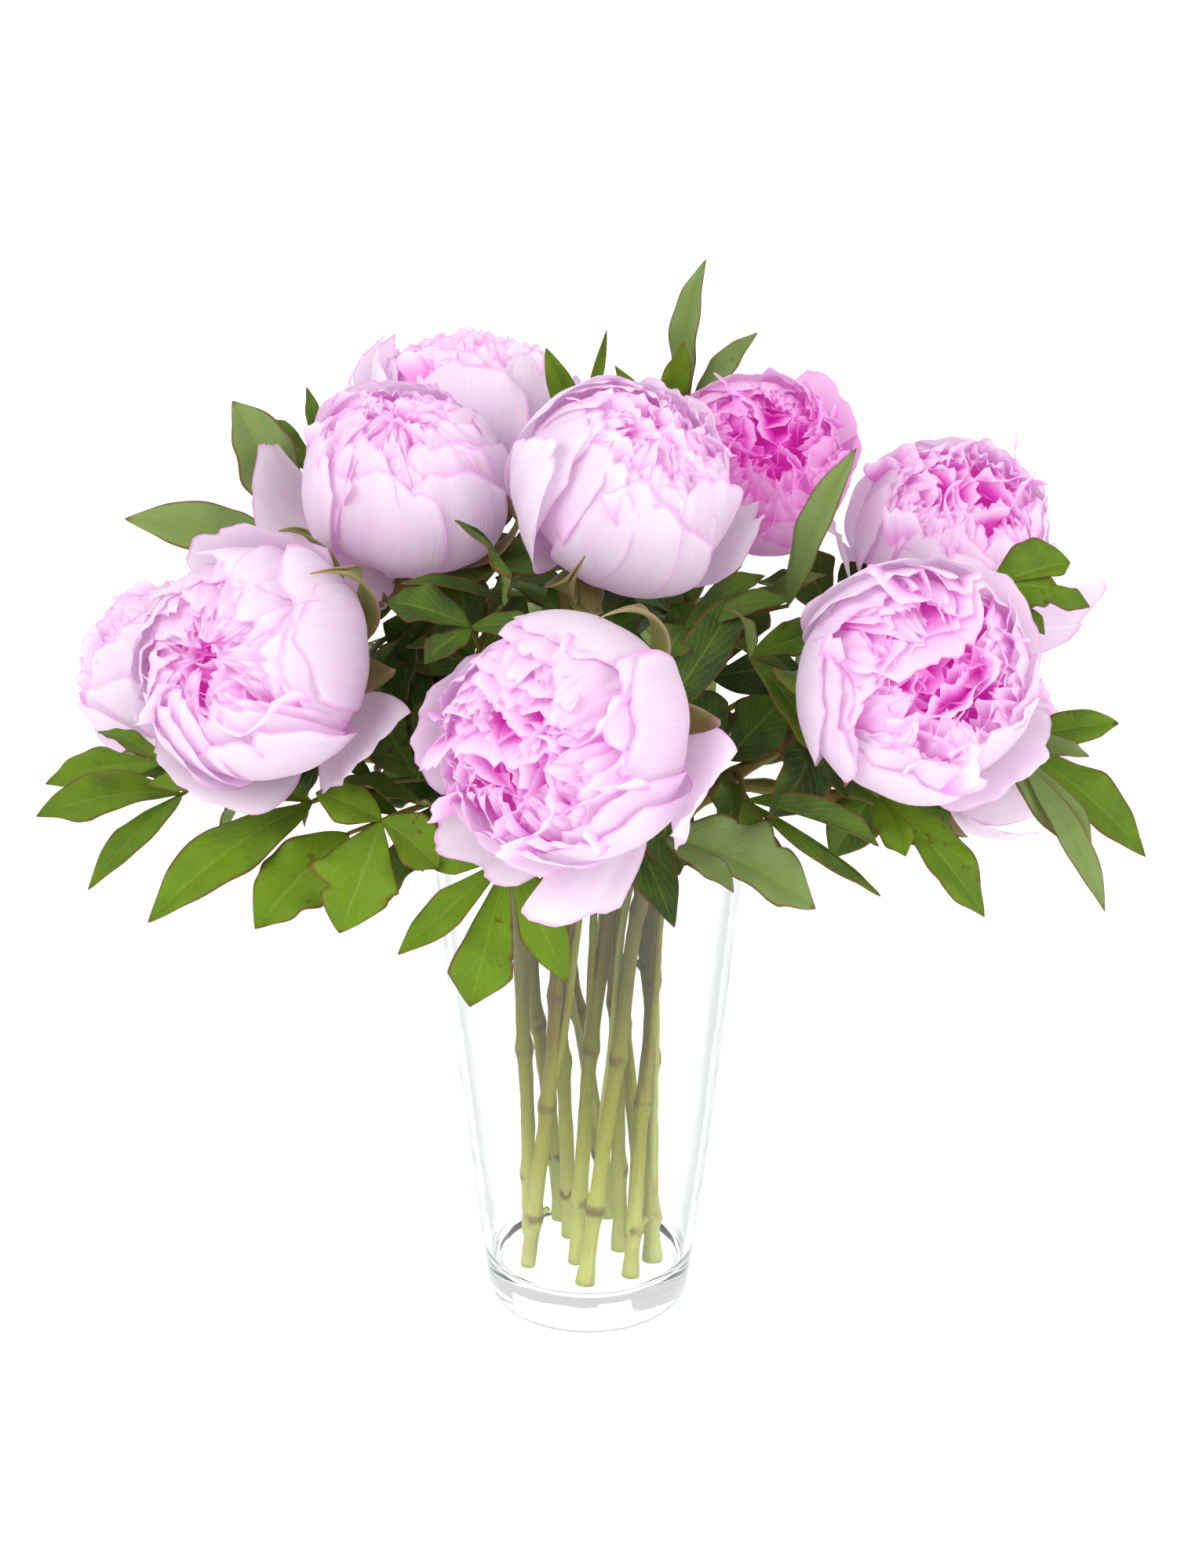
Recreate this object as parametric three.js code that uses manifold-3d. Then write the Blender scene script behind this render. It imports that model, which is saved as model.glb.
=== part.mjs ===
// Peonies in a clear glass vase: eleven cut stems, each with its double bloom and its leaves.
// Millimetres, +Z up. The origin is the middle of the vase's foot, and -Y faces the viewer.
import * as THREE from "three";
import { mergeVertices } from "three/addons/utils/BufferGeometryUtils.js";
import Module from "manifold-3d";

const wasm = await Module();
wasm.setup();

const vec = (x, y, z) => new THREE.Vector3(x, y, z);
const rad = THREE.MathUtils.degToRad;
const lerp = THREE.MathUtils.lerp;

// ---- Driving dimensions -------------------------------------------------------------------
const VASE = {
  height: 250,
  footRadius: 47,
  rimRadius: 72.5,
  wall: 4,
  floor: 20, // thickness of the solid glass foot
  edge: 7, // rounding between the foot's face and the wall
  belly: 1.5, // how far the wall bows out at half height
  sides: 24,
};
const STEM = { radius: 3.6, top: 2.8, cup: 6, cupHeight: 9, straight: 34, sides: 5, steps: 6 };
const PETAL = { thickness: 1.2, root: 0.5, tilt: 0.065 };
// The layers of a bloom: how many petals, where they start (degrees from the bloom's foot) and end
// (degrees past the edge of its mouth), their half width and their distance from its middle. The
// inner ones end short of the mouth's middle, by a share of its half angle.
const GUARD = { count: 5, foot: 14, past: -6, half: 43, shell: 1, rows: 3 };
const MIDDLE = { count: 3, foot: 40, past: 7, half: 50, shell: 0.8, rows: 2 };
const INNER = { count: 3, foot: -8, short: 0.22, half: 38, shell: 0.84, rows: 2 };
// The heart that they stand on: its rings are [degrees from the foot, distance from the middle], and
// those of the mouth are counted from the mouth's edge. Its middle sinks to the crater.
const HEART = {
  reach: 0.64, crater: 0.36, sides: 6,
  rings: [[0, 0.64], [38, 0.64], [80, 0.64]], mouth: [[-18, 0.64], [8, 0.54]],
};
const SEPAL = { turns: [15, 235], foot: 6, tip: 50, half: 30, root: 0.74, reach: 1.2 };
// rows: where a leaflet's width is set, as shares of its length. fold: how far its halves rise, for their
// width. web and heel: how far the sheet reaches from its joint between and outside the leaflets.
// wedge: the share of the angle to its neighbour that a leaflet fills. lean: how far leaves face outwards.
const LEAF = {
  thickness: 0.9, rows: [0.42, 0.74], fold: 0.3, bow: 0.08, web: 4, heel: 1.6, wedge: 0.42, lean: 0.66,
};
const STALK = { radius: 1.4, sides: 4, above: 8 };
const GAP = 0.5; // air kept between two neighbouring pieces
const STEM_RING = { foot: 32, waist: 30, neck: 47, twist: 55, waistHeight: 130 };

// ---- The front view that places the blooms and leaves -------------------------------------
// A picture 1500 x 1998 points large, taken from VIEW.distance, looking VIEW.pitch degrees down
// at the vase's axis. seen(u, v, y) is the place at picture point (u, v) that lies y behind the axis.
const VIEW = { middle: [750, 999], focal: 4582, distance: 1620, aim: 262, pitch: 23.5 };
const forward = vec(0, Math.cos(rad(VIEW.pitch)), -Math.sin(rad(VIEW.pitch)));
const upward = vec(0, Math.sin(rad(VIEW.pitch)), Math.cos(rad(VIEW.pitch)));
const eye = vec(0, 0, VIEW.aim).addScaledVector(forward, -VIEW.distance);

function seen([u, v, y]) {
  const ray = forward
    .clone()
    .add(vec((u - VIEW.middle[0]) / VIEW.focal, 0, 0))
    .addScaledVector(upward, -(v - VIEW.middle[1]) / VIEW.focal);
  return eye.clone().addScaledVector(ray, (y - eye.y) / ray.y);
}

// ---- The flowers --------------------------------------------------------------------------
// at: picture point and depth of the ball's middle. heading and rise: where the bloom opens to,
// in degrees from the viewer towards the right and above the horizon. open: half angle of the
// mouth that shows the inner petals. neck: where the stem passes the rim, in degrees round the
// vase's axis, and its distance from the axis as a share of STEM_RING.neck.
// loose: guard petals that stand away: [turn round the axis, tip angle, half width, lift].
const FLOWERS = [
  {
    name: "front_left", at: [325, 850, -70], radius: 52, heading: -30, rise: 26, open: 42,
    neck: [-152, 1], loose: [[250, 112, 36, 0.16], [330, 84, 34, 0.2], [112, 105, 42, 0.12]],
  },
  {
    name: "front_middle", at: [722, 945, -122], radius: 54, heading: -34, rise: 12, open: 58, long: 1.08,
    neck: [-97, 1], loose: [[236, 112, 34, 0.34], [284, 108, 28, 0.44], [345, 100, 40, 0.3]],
  },
  {
    name: "front_right", at: [1170, 868, -72], radius: 52, heading: 13, rise: 30, open: 58,
    neck: [-38, 1], loose: [[315, 104, 40, 0.22], [30, 100, 40, 0.16]],
  },
  {
    name: "upper_left", at: [512, 618, 0], radius: 46, heading: 0, rise: 72, open: 44,
    neck: [180, 0.48], loose: [[228, 98, 34, 0.36], [168, 104, 34, 0.34]],
  },
  {
    name: "crown", at: [795, 622, -25], radius: 48, heading: 42, rise: 55, open: 44,
    neck: [-60, 0.45], loose: [[165, 124, 30, 0.14], [322, 104, 34, 0.26]],
  },
  {
    name: "upper_right", at: [968, 590, 50], radius: 41, heading: 6, rise: 34, open: 58,
    neck: [52, 0.48], loose: [[30, 112, 38, 0.14]],
  },
  {
    name: "back_right", at: [1216, 684, 72], radius: 47, heading: 20, rise: 56, open: 60,
    neck: [34, 1], loose: [[185, 104, 38, 0.26], [235, 96, 34, 0.24], [328, 92, 40, 0.56]],
  },
  {
    name: "back_left", at: [598, 522, 98], radius: 43, heading: 178, rise: 66, open: 58,
    neck: [126, 1], loose: [[160, 104, 38, 0.3], [15, 106, 40, 0.36]], plain: true,
  },
  {
    name: "far_left", at: [203, 852, 50], radius: 41, heading: -104, rise: 30, open: 56,
    neck: [170, 1], loose: [[190, 100, 40, 0.2]], plain: true,
  },
  {
    name: "low_right", at: [1262, 948, 36], radius: 39, heading: 112, rise: 16, open: 56,
    neck: [2, 1], loose: [[250, 96, 40, 0.22]], plain: true,
  },
  {
    name: "rear", at: [777, 612, 156], radius: 44, heading: 176, rise: 42, open: 58,
    neck: [84, 1], loose: [[30, 100, 40, 0.2], [160, 98, 38, 0.2]], plain: true,
  },
];

// ---- The leaves ---------------------------------------------------------------------------
// A spray is one compound leaf: its stalk leaves the named flower's stem at the height `from`, arches
// `above` over the straight line and ends at the joint. Each leaflet runs from there to its tip, both at
// picture points and depths. wide is a leaflet's width, roll turns its face round its midrib in degrees,
// and bow is its arch as a share of its length. The leaves of a `back` spray face away from the viewer.
const SPRAYS = [
  {
    on: "far_left", from: 272, above: -6, joint: [232, 1012, -36],
    leaflets: [
      { tip: [47, 1041, -84], wide: 23, roll: -14 },
      { tip: [114, 1128, -90], wide: 16, roll: 12 },
    ],
  },
  {
    on: "far_left", from: 268, above: -10, joint: [206, 972, -28],
    leaflets: [
      { tip: [58, 998, -44], wide: 21 },
      { tip: [128, 928, -4], wide: 14, roll: 20 },
    ],
  },
  {
    on: "front_left", from: 272, joint: [398, 1022, -50],
    leaflets: [
      { tip: [186, 998, -56], wide: 26, roll: 4 },
      { tip: [183, 1163, -96], wide: 28 },
    ],
  },
  {
    on: "front_left", from: 262, joint: [486, 1046, -84],
    leaflets: [
      { tip: [440, 1190, -112], wide: 38, roll: 8 },
      { tip: [404, 1006, -82], wide: 24, roll: 10 },
    ],
  },
  {
    on: "front_left", from: 268, above: 0, joint: [444, 1062, -60],
    leaflets: [{ tip: [328, 1186, -92], wide: 32, roll: -6 }],
  },
  {
    on: "front_middle", from: 262, joint: [648, 1092, -84],
    leaflets: [
      { tip: [616, 1284, -98], wide: 34 },
      { tip: [722, 1240, -98], wide: 20 },
      { tip: [512, 1222, -104], wide: 18, roll: 10 },
      { tip: [536, 1104, -90], wide: 14, roll: -10 },
    ],
  },
  {
    on: "front_middle", from: 280, above: -6, joint: [848, 1066, -76],
    leaflets: [
      { tip: [1042, 1147, -92], wide: 40, roll: 6 },
      { tip: [932, 1136, -110], wide: 19, roll: -16 },
    ],
  },
  {
    on: "front_right", from: 276, joint: [950, 1020, -62],
    leaflets: [
      { tip: [984, 1146, -84], wide: 22 },
      { tip: [1120, 1080, -90], wide: 20, roll: 10 },
      { tip: [1124, 1140, -66], wide: 19, roll: -12 },
    ],
  },
  {
    on: "front_right", from: 290, joint: [1122, 1016, -40],
    leaflets: [
      { tip: [1258, 1164, -70], wide: 29 },
      { tip: [1152, 1088, -72], wide: 19, roll: 20 },
    ],
  },
  {
    on: "front_right", from: 306, above: 0, joint: [1290, 944, -14],
    leaflets: [
      { tip: [1460, 1091, -24], wide: 23 },
      { tip: [1396, 1096, -52], wide: 21, roll: -16 },
      { tip: [1428, 924, -12], wide: 16, roll: 14 },
    ],
  },
  {
    on: "front_right", from: 306, above: -2, joint: [1264, 750, 4],
    leaflets: [
      { tip: [1364, 716, 2], wide: 29, roll: 6 },
      { tip: [1388, 776, -6], wide: 24, roll: -6 },
      { tip: [1330, 808, -8], wide: 16, roll: -10 },
    ],
  },
  {
    on: "front_right", from: 300, joint: [955, 838, -40],
    leaflets: [
      { tip: [1050, 984, -34], wide: 22, roll: 6 },
      { tip: [1040, 806, -26], wide: 17, roll: 24 },
      { tip: [926, 764, -78], wide: 14, roll: 20 },
    ],
  },
  {
    on: "upper_right", from: 300, joint: [1004, 772, 0],
    leaflets: [
      { tip: [1094, 574, -12], wide: 18, roll: -20, bow: 0.12 },
    ],
  },
  {
    on: "crown", from: 300, joint: [872, 800, -40],
    leaflets: [
      { tip: [1008, 757, -34], wide: 12, roll: 10 },
      { tip: [974, 730, -20], wide: 11, roll: 20 },
      { tip: [846, 838, -62], wide: 18, roll: -20 },
    ],
  },
  {
    on: "upper_left", from: 300, joint: [640, 770, -30],
    leaflets: [
      { tip: [588, 664, -68], wide: 32, bow: 0.12 },
      { tip: [512, 742, -52], wide: 14, roll: 10 },
    ],
  },
  {
    on: "upper_left", from: 280, joint: [600, 800, -52],
    leaflets: [
      { tip: [492, 764, -56], wide: 24, roll: -6 },
      { tip: [540, 842, -66], wide: 18, roll: 8 },
      { tip: [690, 800, -64], wide: 13, roll: 4 },
    ],
  },
  {
    on: "front_left", from: 304, above: -6, joint: [382, 702, 26],
    leaflets: [
      { tip: [291, 513, 30], wide: 31, roll: 6 },
      { tip: [162, 668, 8], wide: 25, roll: -6 },
    ],
  },
  {
    on: "back_left", from: 320, joint: [410, 600, 62],
    leaflets: [
      { tip: [334, 534, 58], wide: 19, roll: 20 },
      { tip: [388, 494, 66], wide: 8, roll: -10 },
    ],
  },
  {
    on: "crown", from: 357, above: -6, joint: [740, 560, 70],
    leaflets: [
      { tip: [700, 444, 58], wide: 13 },
      { tip: [768, 420, 60], wide: 6 },
    ],
  },
  {
    on: "upper_right", from: 340, joint: [836, 556, 86],
    leaflets: [
      { tip: [866, 436, 68], wide: 16 },
      { tip: [784, 468, 66], wide: 10 },
    ],
  },
  {
    on: "upper_right", from: 352, above: -2, joint: [878, 520, 102],
    leaflets: [
      { tip: [966, 428, 84], wide: 14, roll: -6 },
      { tip: [896, 334, 86], wide: 15, roll: 6, bow: 0.12 },
    ],
  },
  {
    on: "upper_left", from: 285, above: 6, joint: [600, 852, 8],
    leaflets: [
      { tip: [488, 792, 14], wide: 30 },
      { tip: [584, 716, 22], wide: 30, roll: 8 },
      { tip: [672, 762, 16], wide: 27, roll: -8 },
    ],
  },
  {
    on: "crown", from: 290, above: 6, joint: [760, 836, 0],
    leaflets: [
      { tip: [700, 742, 10], wide: 27 },
      { tip: [796, 744, 14], wide: 26 },
    ],
  },
  {
    on: "upper_right", from: 285, above: 6, joint: [905, 862, 12],
    leaflets: [
      { tip: [856, 768, 20], wide: 27 },
      { tip: [966, 756, 26], wide: 29 },
      { tip: [1020, 850, 18], wide: 28 },
    ],
  },
  {
    on: "front_right", from: 280, above: 4, joint: [925, 968, -22],
    leaflets: [
      { tip: [868, 878, -16], wide: 28 },
      { tip: [1000, 890, -10], wide: 29 },
    ],
  },
  {
    on: "front_left", from: 280, above: 4, joint: [532, 990, -34],
    leaflets: [
      { tip: [470, 900, -20], wide: 28 },
      { tip: [560, 890, -22], wide: 26 },
    ],
  },
  {
    on: "back_right", from: 268, above: 4, joint: [1120, 1000, 10],
    leaflets: [
      { tip: [1060, 1090, 0], wide: 26 },
      { tip: [1210, 1080, 0], wide: 28 },
      { tip: [1040, 960, 10], wide: 26 },
    ],
  },
  {
    on: "back_left", from: 300, above: 6, joint: [470, 720, 70],
    leaflets: [
      { tip: [400, 640, 74], wide: 26 },
      { tip: [452, 800, 80], wide: 26 },
    ],
  },
  {
    on: "back_right", from: 290, above: 6, joint: [1060, 780, 60],
    leaflets: [
      { tip: [1010, 700, 66], wide: 26 },
      { tip: [1110, 720, 70], wide: 26 },
      { tip: [1080, 860, 56], wide: 26 },
    ],
  },
  {
    on: "rear", from: 290, joint: [700, 760, 120], back: true,
    leaflets: [
      { tip: [600, 720, 170], wide: 22 },
      { tip: [640, 820, 176], wide: 24 },
      { tip: [730, 880, 168], wide: 20 },
    ],
  },
  {
    on: "rear", from: 285, joint: [850, 780, 118], back: true,
    leaflets: [
      { tip: [816, 890, 176], wide: 19 },
      { tip: [904, 900, 160], wide: 19 },
      { tip: [960, 800, 166], wide: 24 },
    ],
  },
  {
    on: "back_right", from: 264, above: 0, joint: [1090, 900, 70], back: true,
    leaflets: [
      { tip: [1016, 900, 140], wide: 22 },
      { tip: [1112, 930, 146], wide: 22 },
      { tip: [1170, 850, 130], wide: 20 },
    ],
  },
  {
    on: "back_left", from: 275, joint: [470, 820, 86], back: true,
    leaflets: [
      { tip: [380, 820, 140], wide: 24 },
      { tip: [470, 900, 150], wide: 24 },
      { tip: [560, 850, 150], wide: 20 },
    ],
  },
];

// ---- Geometry to solid and back -----------------------------------------------------------
function solid(geometry, near = 1e-4) {
  const bare = (geometry.index ? geometry.toNonIndexed() : geometry).clone();
  for (const name of Object.keys(bare.attributes)) if (name !== "position") bare.deleteAttribute(name);
  const merged = mergeVertices(bare, near);
  const corners = [];
  const index = merged.index.array;
  for (let i = 0; i < index.length; i += 3) {
    const [a, b, c] = index.slice(i, i + 3);
    if (a !== b && b !== c && c !== a) corners.push(a, b, c);
  }
  const vertProperties = merged.attributes.position.array;
  return new wasm.Manifold(new wasm.Mesh({ numProp: 3, vertProperties, triVerts: new Uint32Array(corners) }));
}

function geometryOf(made) {
  const { numProp, numVert, vertProperties, triVerts } = made.getMesh();
  const places = new Float32Array(numVert * 3);
  for (let i = 0; i < numVert; i++) places.set(vertProperties.subarray(i * numProp, i * numProp + 3), i * 3);
  const geometry = new THREE.BufferGeometry();
  geometry.setAttribute("position", new THREE.BufferAttribute(places, 3));
  geometry.setIndex(new THREE.BufferAttribute(triVerts, 1));
  geometry.computeVertexNormals();
  return geometry;
}

const union = (solids) => wasm.Manifold.union(solids);

// The body that holds most of a solid: what a cut has left loose is dropped, and so are the
// sealed hollows. Corners closer than 0.01 mm are first drawn together.
function whole(made) {
  const body = (all) => all.decompose().reduce((a, b) => (b.volume() > a.volume() ? b : a));
  return body(solid(geometryOf(body(made)), 0.01));
}

// A blade: a sheet given by point(s, t), s from root to tip and t from edge to edge, made
// `thickness` thick. Both faces are split along the same diagonals.
function blade(point, rows, columns, thickness) {
  const step = 1e-3;
  const faces = [[], []];
  for (let i = 0; i <= rows; i++)
    for (let j = 0; j <= columns; j++) {
      const [s, t] = [i / rows, (2 * j) / columns - 1];
      const inner = Math.min(Math.max(s, 0.02), 0.98);
      const along = point(inner + step, t).sub(point(inner - step, t));
      const across = point(inner, t + step).sub(point(inner, t - step));
      const out = across.cross(along).normalize();
      const place = point(s, t);
      faces[0].push(place.clone().addScaledVector(out, thickness / 2));
      faces[1].push(place.clone().addScaledVector(out, -thickness / 2));
    }
  const half = faces[0].length;
  const id = (i, j) => i * (columns + 1) + j;
  const index = [];
  const quad = (a, b, c, d) => index.push(a, b, c, a, c, d);
  for (let i = 0; i < rows; i++)
    for (let j = 0; j < columns; j++) {
      const [a, b, c, d] = [id(i, j), id(i, j + 1), id(i + 1, j + 1), id(i + 1, j)];
      quad(a, b, c, d);
      index.push(half + a, half + c, half + b, half + a, half + d, half + c);
    }
  const rim = [];
  for (let j = 0; j <= columns; j++) rim.push(id(0, j));
  for (let i = 1; i <= rows; i++) rim.push(id(i, columns));
  for (let j = columns - 1; j >= 0; j--) rim.push(id(rows, j));
  for (let i = rows - 1; i > 0; i--) rim.push(id(i, 0));
  rim.forEach((a, k) => {
    const b = rim[(k + 1) % rim.length];
    quad(b, a, half + a, half + b);
  });
  return solid(new THREE.BufferGeometry().setFromPoints(faces.flat()).setIndex(index));
}

// A rod of the given number of sides along a curve. Each station is [share of its length, radius].
function rod(curve, stations, sides) {
  const places = [];
  let side = Math.abs(curve.getTangentAt(0).x) < 0.8 ? vec(1, 0, 0) : vec(0, 1, 0);
  for (const [share, radius] of stations) {
    const ahead = curve.getTangentAt(share);
    side = side.clone().addScaledVector(ahead, -side.dot(ahead)).normalize();
    const other = ahead.clone().cross(side);
    for (let k = 0; k < sides; k++) {
      const turn = (2 * Math.PI * k) / sides;
      const place = curve.getPointAt(share).addScaledVector(side, radius * Math.cos(turn));
      places.push(place.addScaledVector(other, radius * Math.sin(turn)));
    }
  }
  const index = [];
  const last = (stations.length - 1) * sides;
  for (let i = 0; i < last; i += sides)
    for (let k = 0; k < sides; k++) {
      const [a, b] = [i + k, i + ((k + 1) % sides)];
      index.push(a, b, b + sides, a, b + sides, a + sides);
    }
  for (let k = 1; k + 1 < sides; k++) index.push(0, k + 1, k, last, last + k, last + k + 1);
  return solid(new THREE.BufferGeometry().setFromPoints(places).setIndex(index));
}

// ---- Vase ---------------------------------------------------------------------------------
function vaseSolid(grow = 0) {
  const { height, footRadius, rimRadius, wall, floor, edge, belly } = VASE;
  const outer = (z) => lerp(footRadius, rimRadius, z / height) + belly * Math.sin((Math.PI * z) / height);
  const run = [height / 3, (2 * height) / 3, height - wall / 2];
  const profile = [
    [0, -grow],
    [footRadius - edge, -grow],
    [outer(edge / 2) - edge / 4 + grow, edge / 3],
    ...[edge, ...run].map((z) => [outer(z) + grow, z]),
    [outer(height) - wall / 2, height + grow],
    ...[...run.reverse(), floor + edge].map((z) => [outer(z) - wall - grow, z]),
    [outer(floor) - wall - edge - grow, floor + grow],
    [0, floor + grow],
  ];
  const points = profile.map(([r, z]) => new THREE.Vector2(r, z));
  return solid(new THREE.LatheGeometry(points, VASE.sides).rotateX(Math.PI / 2));
}

// ---- Blooms -------------------------------------------------------------------------------
// A bloom's own frame: axis towards its mouth, right and up as the viewer sees them.
function frameOf(flower) {
  const [heading, rise] = [rad(flower.heading), rad(flower.rise)];
  const axis = vec(
    Math.sin(heading) * Math.cos(rise),
    -Math.cos(heading) * Math.cos(rise),
    Math.sin(rise),
  );
  const right = vec(0, 0, 1).cross(axis).normalize();
  return { middle: seen(flower.at), axis, right, up: axis.clone().cross(right) };
}

// The point at `angle` from the bloom's foot, `turn` round its axis and `reach` from its middle.
function onBall({ middle, axis, right, up }, long, angle, turn, reach) {
  return middle
    .clone()
    .addScaledVector(right, reach * Math.sin(angle) * Math.cos(turn))
    .addScaledVector(up, reach * Math.sin(angle) * Math.sin(turn))
    .addScaledVector(axis, -reach * long * Math.cos(angle));
}

// A cupped petal on the ball: rooted in the heart, rounded at the tip, with one edge over its
// neighbour. foot, tip and half are angles in degrees; lift carries the tip off the ball.
function petal(flower, { turn, foot, tip, half, shell, rows, lift = 0 }, grow = 0) {
  const { radius, long = 1 } = flower;
  const frame = frameOf(flower);
  const more = grow / radius;
  const point = (s, t) => {
    const end = lerp(rad(foot), rad(tip) + more, 1 - 0.24 * t * t);
    const angle = lerp(rad(foot), end, s);
    const width = (rad(half) + more) * lerp(0.74, 1, Math.sin(Math.PI * (0.1 + 0.62 * s)));
    const standing = lerp(PETAL.root, shell, Math.min(1, s * 3)) + lift * s * s + PETAL.tilt * t;
    return onBall(frame, long, angle, rad(turn) + t * width, radius * standing);
  };
  return blade(point, rows, 2, PETAL.thickness + 2 * grow);
}

// An inner petal: it stands up out of the heart's crater and curls over the middle.
function innerPetal(flower, { turn, from, to, half, shell }) {
  const { radius, long = 1 } = flower;
  const frame = frameOf(flower);
  const point = (s, t) => {
    const angle = lerp(rad(from), rad(to), s) - 0.1 * t * t * s;
    const standing = lerp(HEART.crater, shell, Math.sin(Math.PI * (0.08 + 0.42 * s)));
    return onBall(frame, long, angle, rad(turn) + t * rad(half), radius * (standing + PETAL.tilt * t * s));
  };
  return blade(point, 2, 2, PETAL.thickness);
}

// A ball about the bloom's middle, from [angle from the foot, distance from the middle] pairs.
function ball(flower, rings, sides) {
  const { radius, long = 1 } = flower;
  const { middle, axis, right, up } = frameOf(flower);
  const profile = rings.map(([angle, reach], k) => {
    const edge = k === 0 || k === rings.length - 1;
    const far = radius * reach;
    return new THREE.Vector2(edge ? 0 : far * Math.sin(rad(angle)), -far * long * Math.cos(rad(angle)));
  });
  const geometry = new THREE.LatheGeometry(profile, sides).rotateX(Math.PI / 2);
  geometry.applyMatrix4(new THREE.Matrix4().makeBasis(right, up, axis).setPosition(middle));
  return solid(geometry);
}

// The heart that the petals stand out of, with a crater at the mouth.
function heart(flower) {
  const lip = HEART.mouth.map(([past, reach]) => [180 - flower.open + past, reach]);
  return ball(flower, [...HEART.rings, ...lip, [180, HEART.crater]], HEART.sides);
}

function bloomSolid(flower) {
  const { open, loose } = flower;
  const mouth = 180 - open;
  const last = 180 - INNER.short * open;
  const around = (count, start) => Array.from({ length: count }, (_, k) => start + (360 * k) / count);
  const guards = around(GUARD.count, loose[0][0]).filter((turn) =>
    loose.every(([taken]) => Math.cos(rad(taken - turn)) < Math.cos(rad(180 / GUARD.count))),
  );
  const parts = [heart(flower), ...loosePetals(flower)];
  for (const turn of guards) parts.push(petal(flower, { ...GUARD, turn, tip: mouth + GUARD.past }));
  for (const turn of around(MIDDLE.count, 40))
    parts.push(petal(flower, { ...MIDDLE, turn, tip: mouth + MIDDLE.past }));
  for (const turn of around(INNER.count, 10))
    parts.push(innerPetal(flower, { ...INNER, turn, from: mouth + INNER.foot, to: last }));
  return union(parts);
}

function loosePetals(flower, grow) {
  return flower.loose.map(([turn, tip, half, lift]) =>
    petal(flower, { ...GUARD, turn, tip, half, lift }, grow),
  );
}

// The room that a bloom needs: what comes near it is cut clear of this.
function bloomRoom(flower) {
  const reach = 1.12 + GAP / flower.radius;
  const rings = Array.from({ length: 10 }, (_, k) => [20 * k, reach]);
  return union([ball(flower, rings, 18), ...loosePetals(flower, GAP)]);
}

// ---- Stems --------------------------------------------------------------------------------
// The stems stand on the vase's floor in a ring, lean round the axis, and open out at the rim.
function stemCurve(flower) {
  const { axis, middle } = frameOf(flower);
  const [turn, share] = flower.neck;
  const ring = (distance, degrees, z) => vec(distance, 0, z).applyAxisAngle(vec(0, 0, 1), rad(degrees));
  const { radius, long = 1 } = flower;
  const end = middle.clone().addScaledVector(axis, -HEART.reach * radius * long - GAP);
  return new THREE.CatmullRomCurve3([
    ring(STEM_RING.foot * share, turn - STEM_RING.twist, VASE.floor + 2),
    ring(STEM_RING.waist * share, turn - STEM_RING.twist / 2, STEM_RING.waistHeight),
    ring(STEM_RING.neck * share, turn, VASE.height + 4),
    end.clone().addScaledVector(axis, -STEM.straight),
    end,
  ]);
}

// The stem tapers a little and swells at its end into the cup that carries the bloom.
// Its stations are [share of its length, radius].
function stemStations(curve) {
  const { radius, top, cup, cupHeight, steps } = STEM;
  const neck = 1 - cupHeight / curve.getLength();
  const shaft = Array.from({ length: steps + 1 }, (_, k) => [(neck * k) / steps, lerp(radius, top, k / steps)]);
  return [...shaft, [1, cup]];
}

function stemSolid(flower, grow = 0) {
  const curve = stemCurve(flower);
  return rod(curve, stemStations(curve).map(([share, radius]) => [share, radius + grow]), STEM.sides);
}

// ---- Leaves -------------------------------------------------------------------------------
// Share of its full width that a leaflet has at s, from its base (0) to its pointed tip (1).
const outline = (s) => 2.9 * Math.pow(s, 0.75) * Math.pow(1 - s, 0.8);

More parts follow.
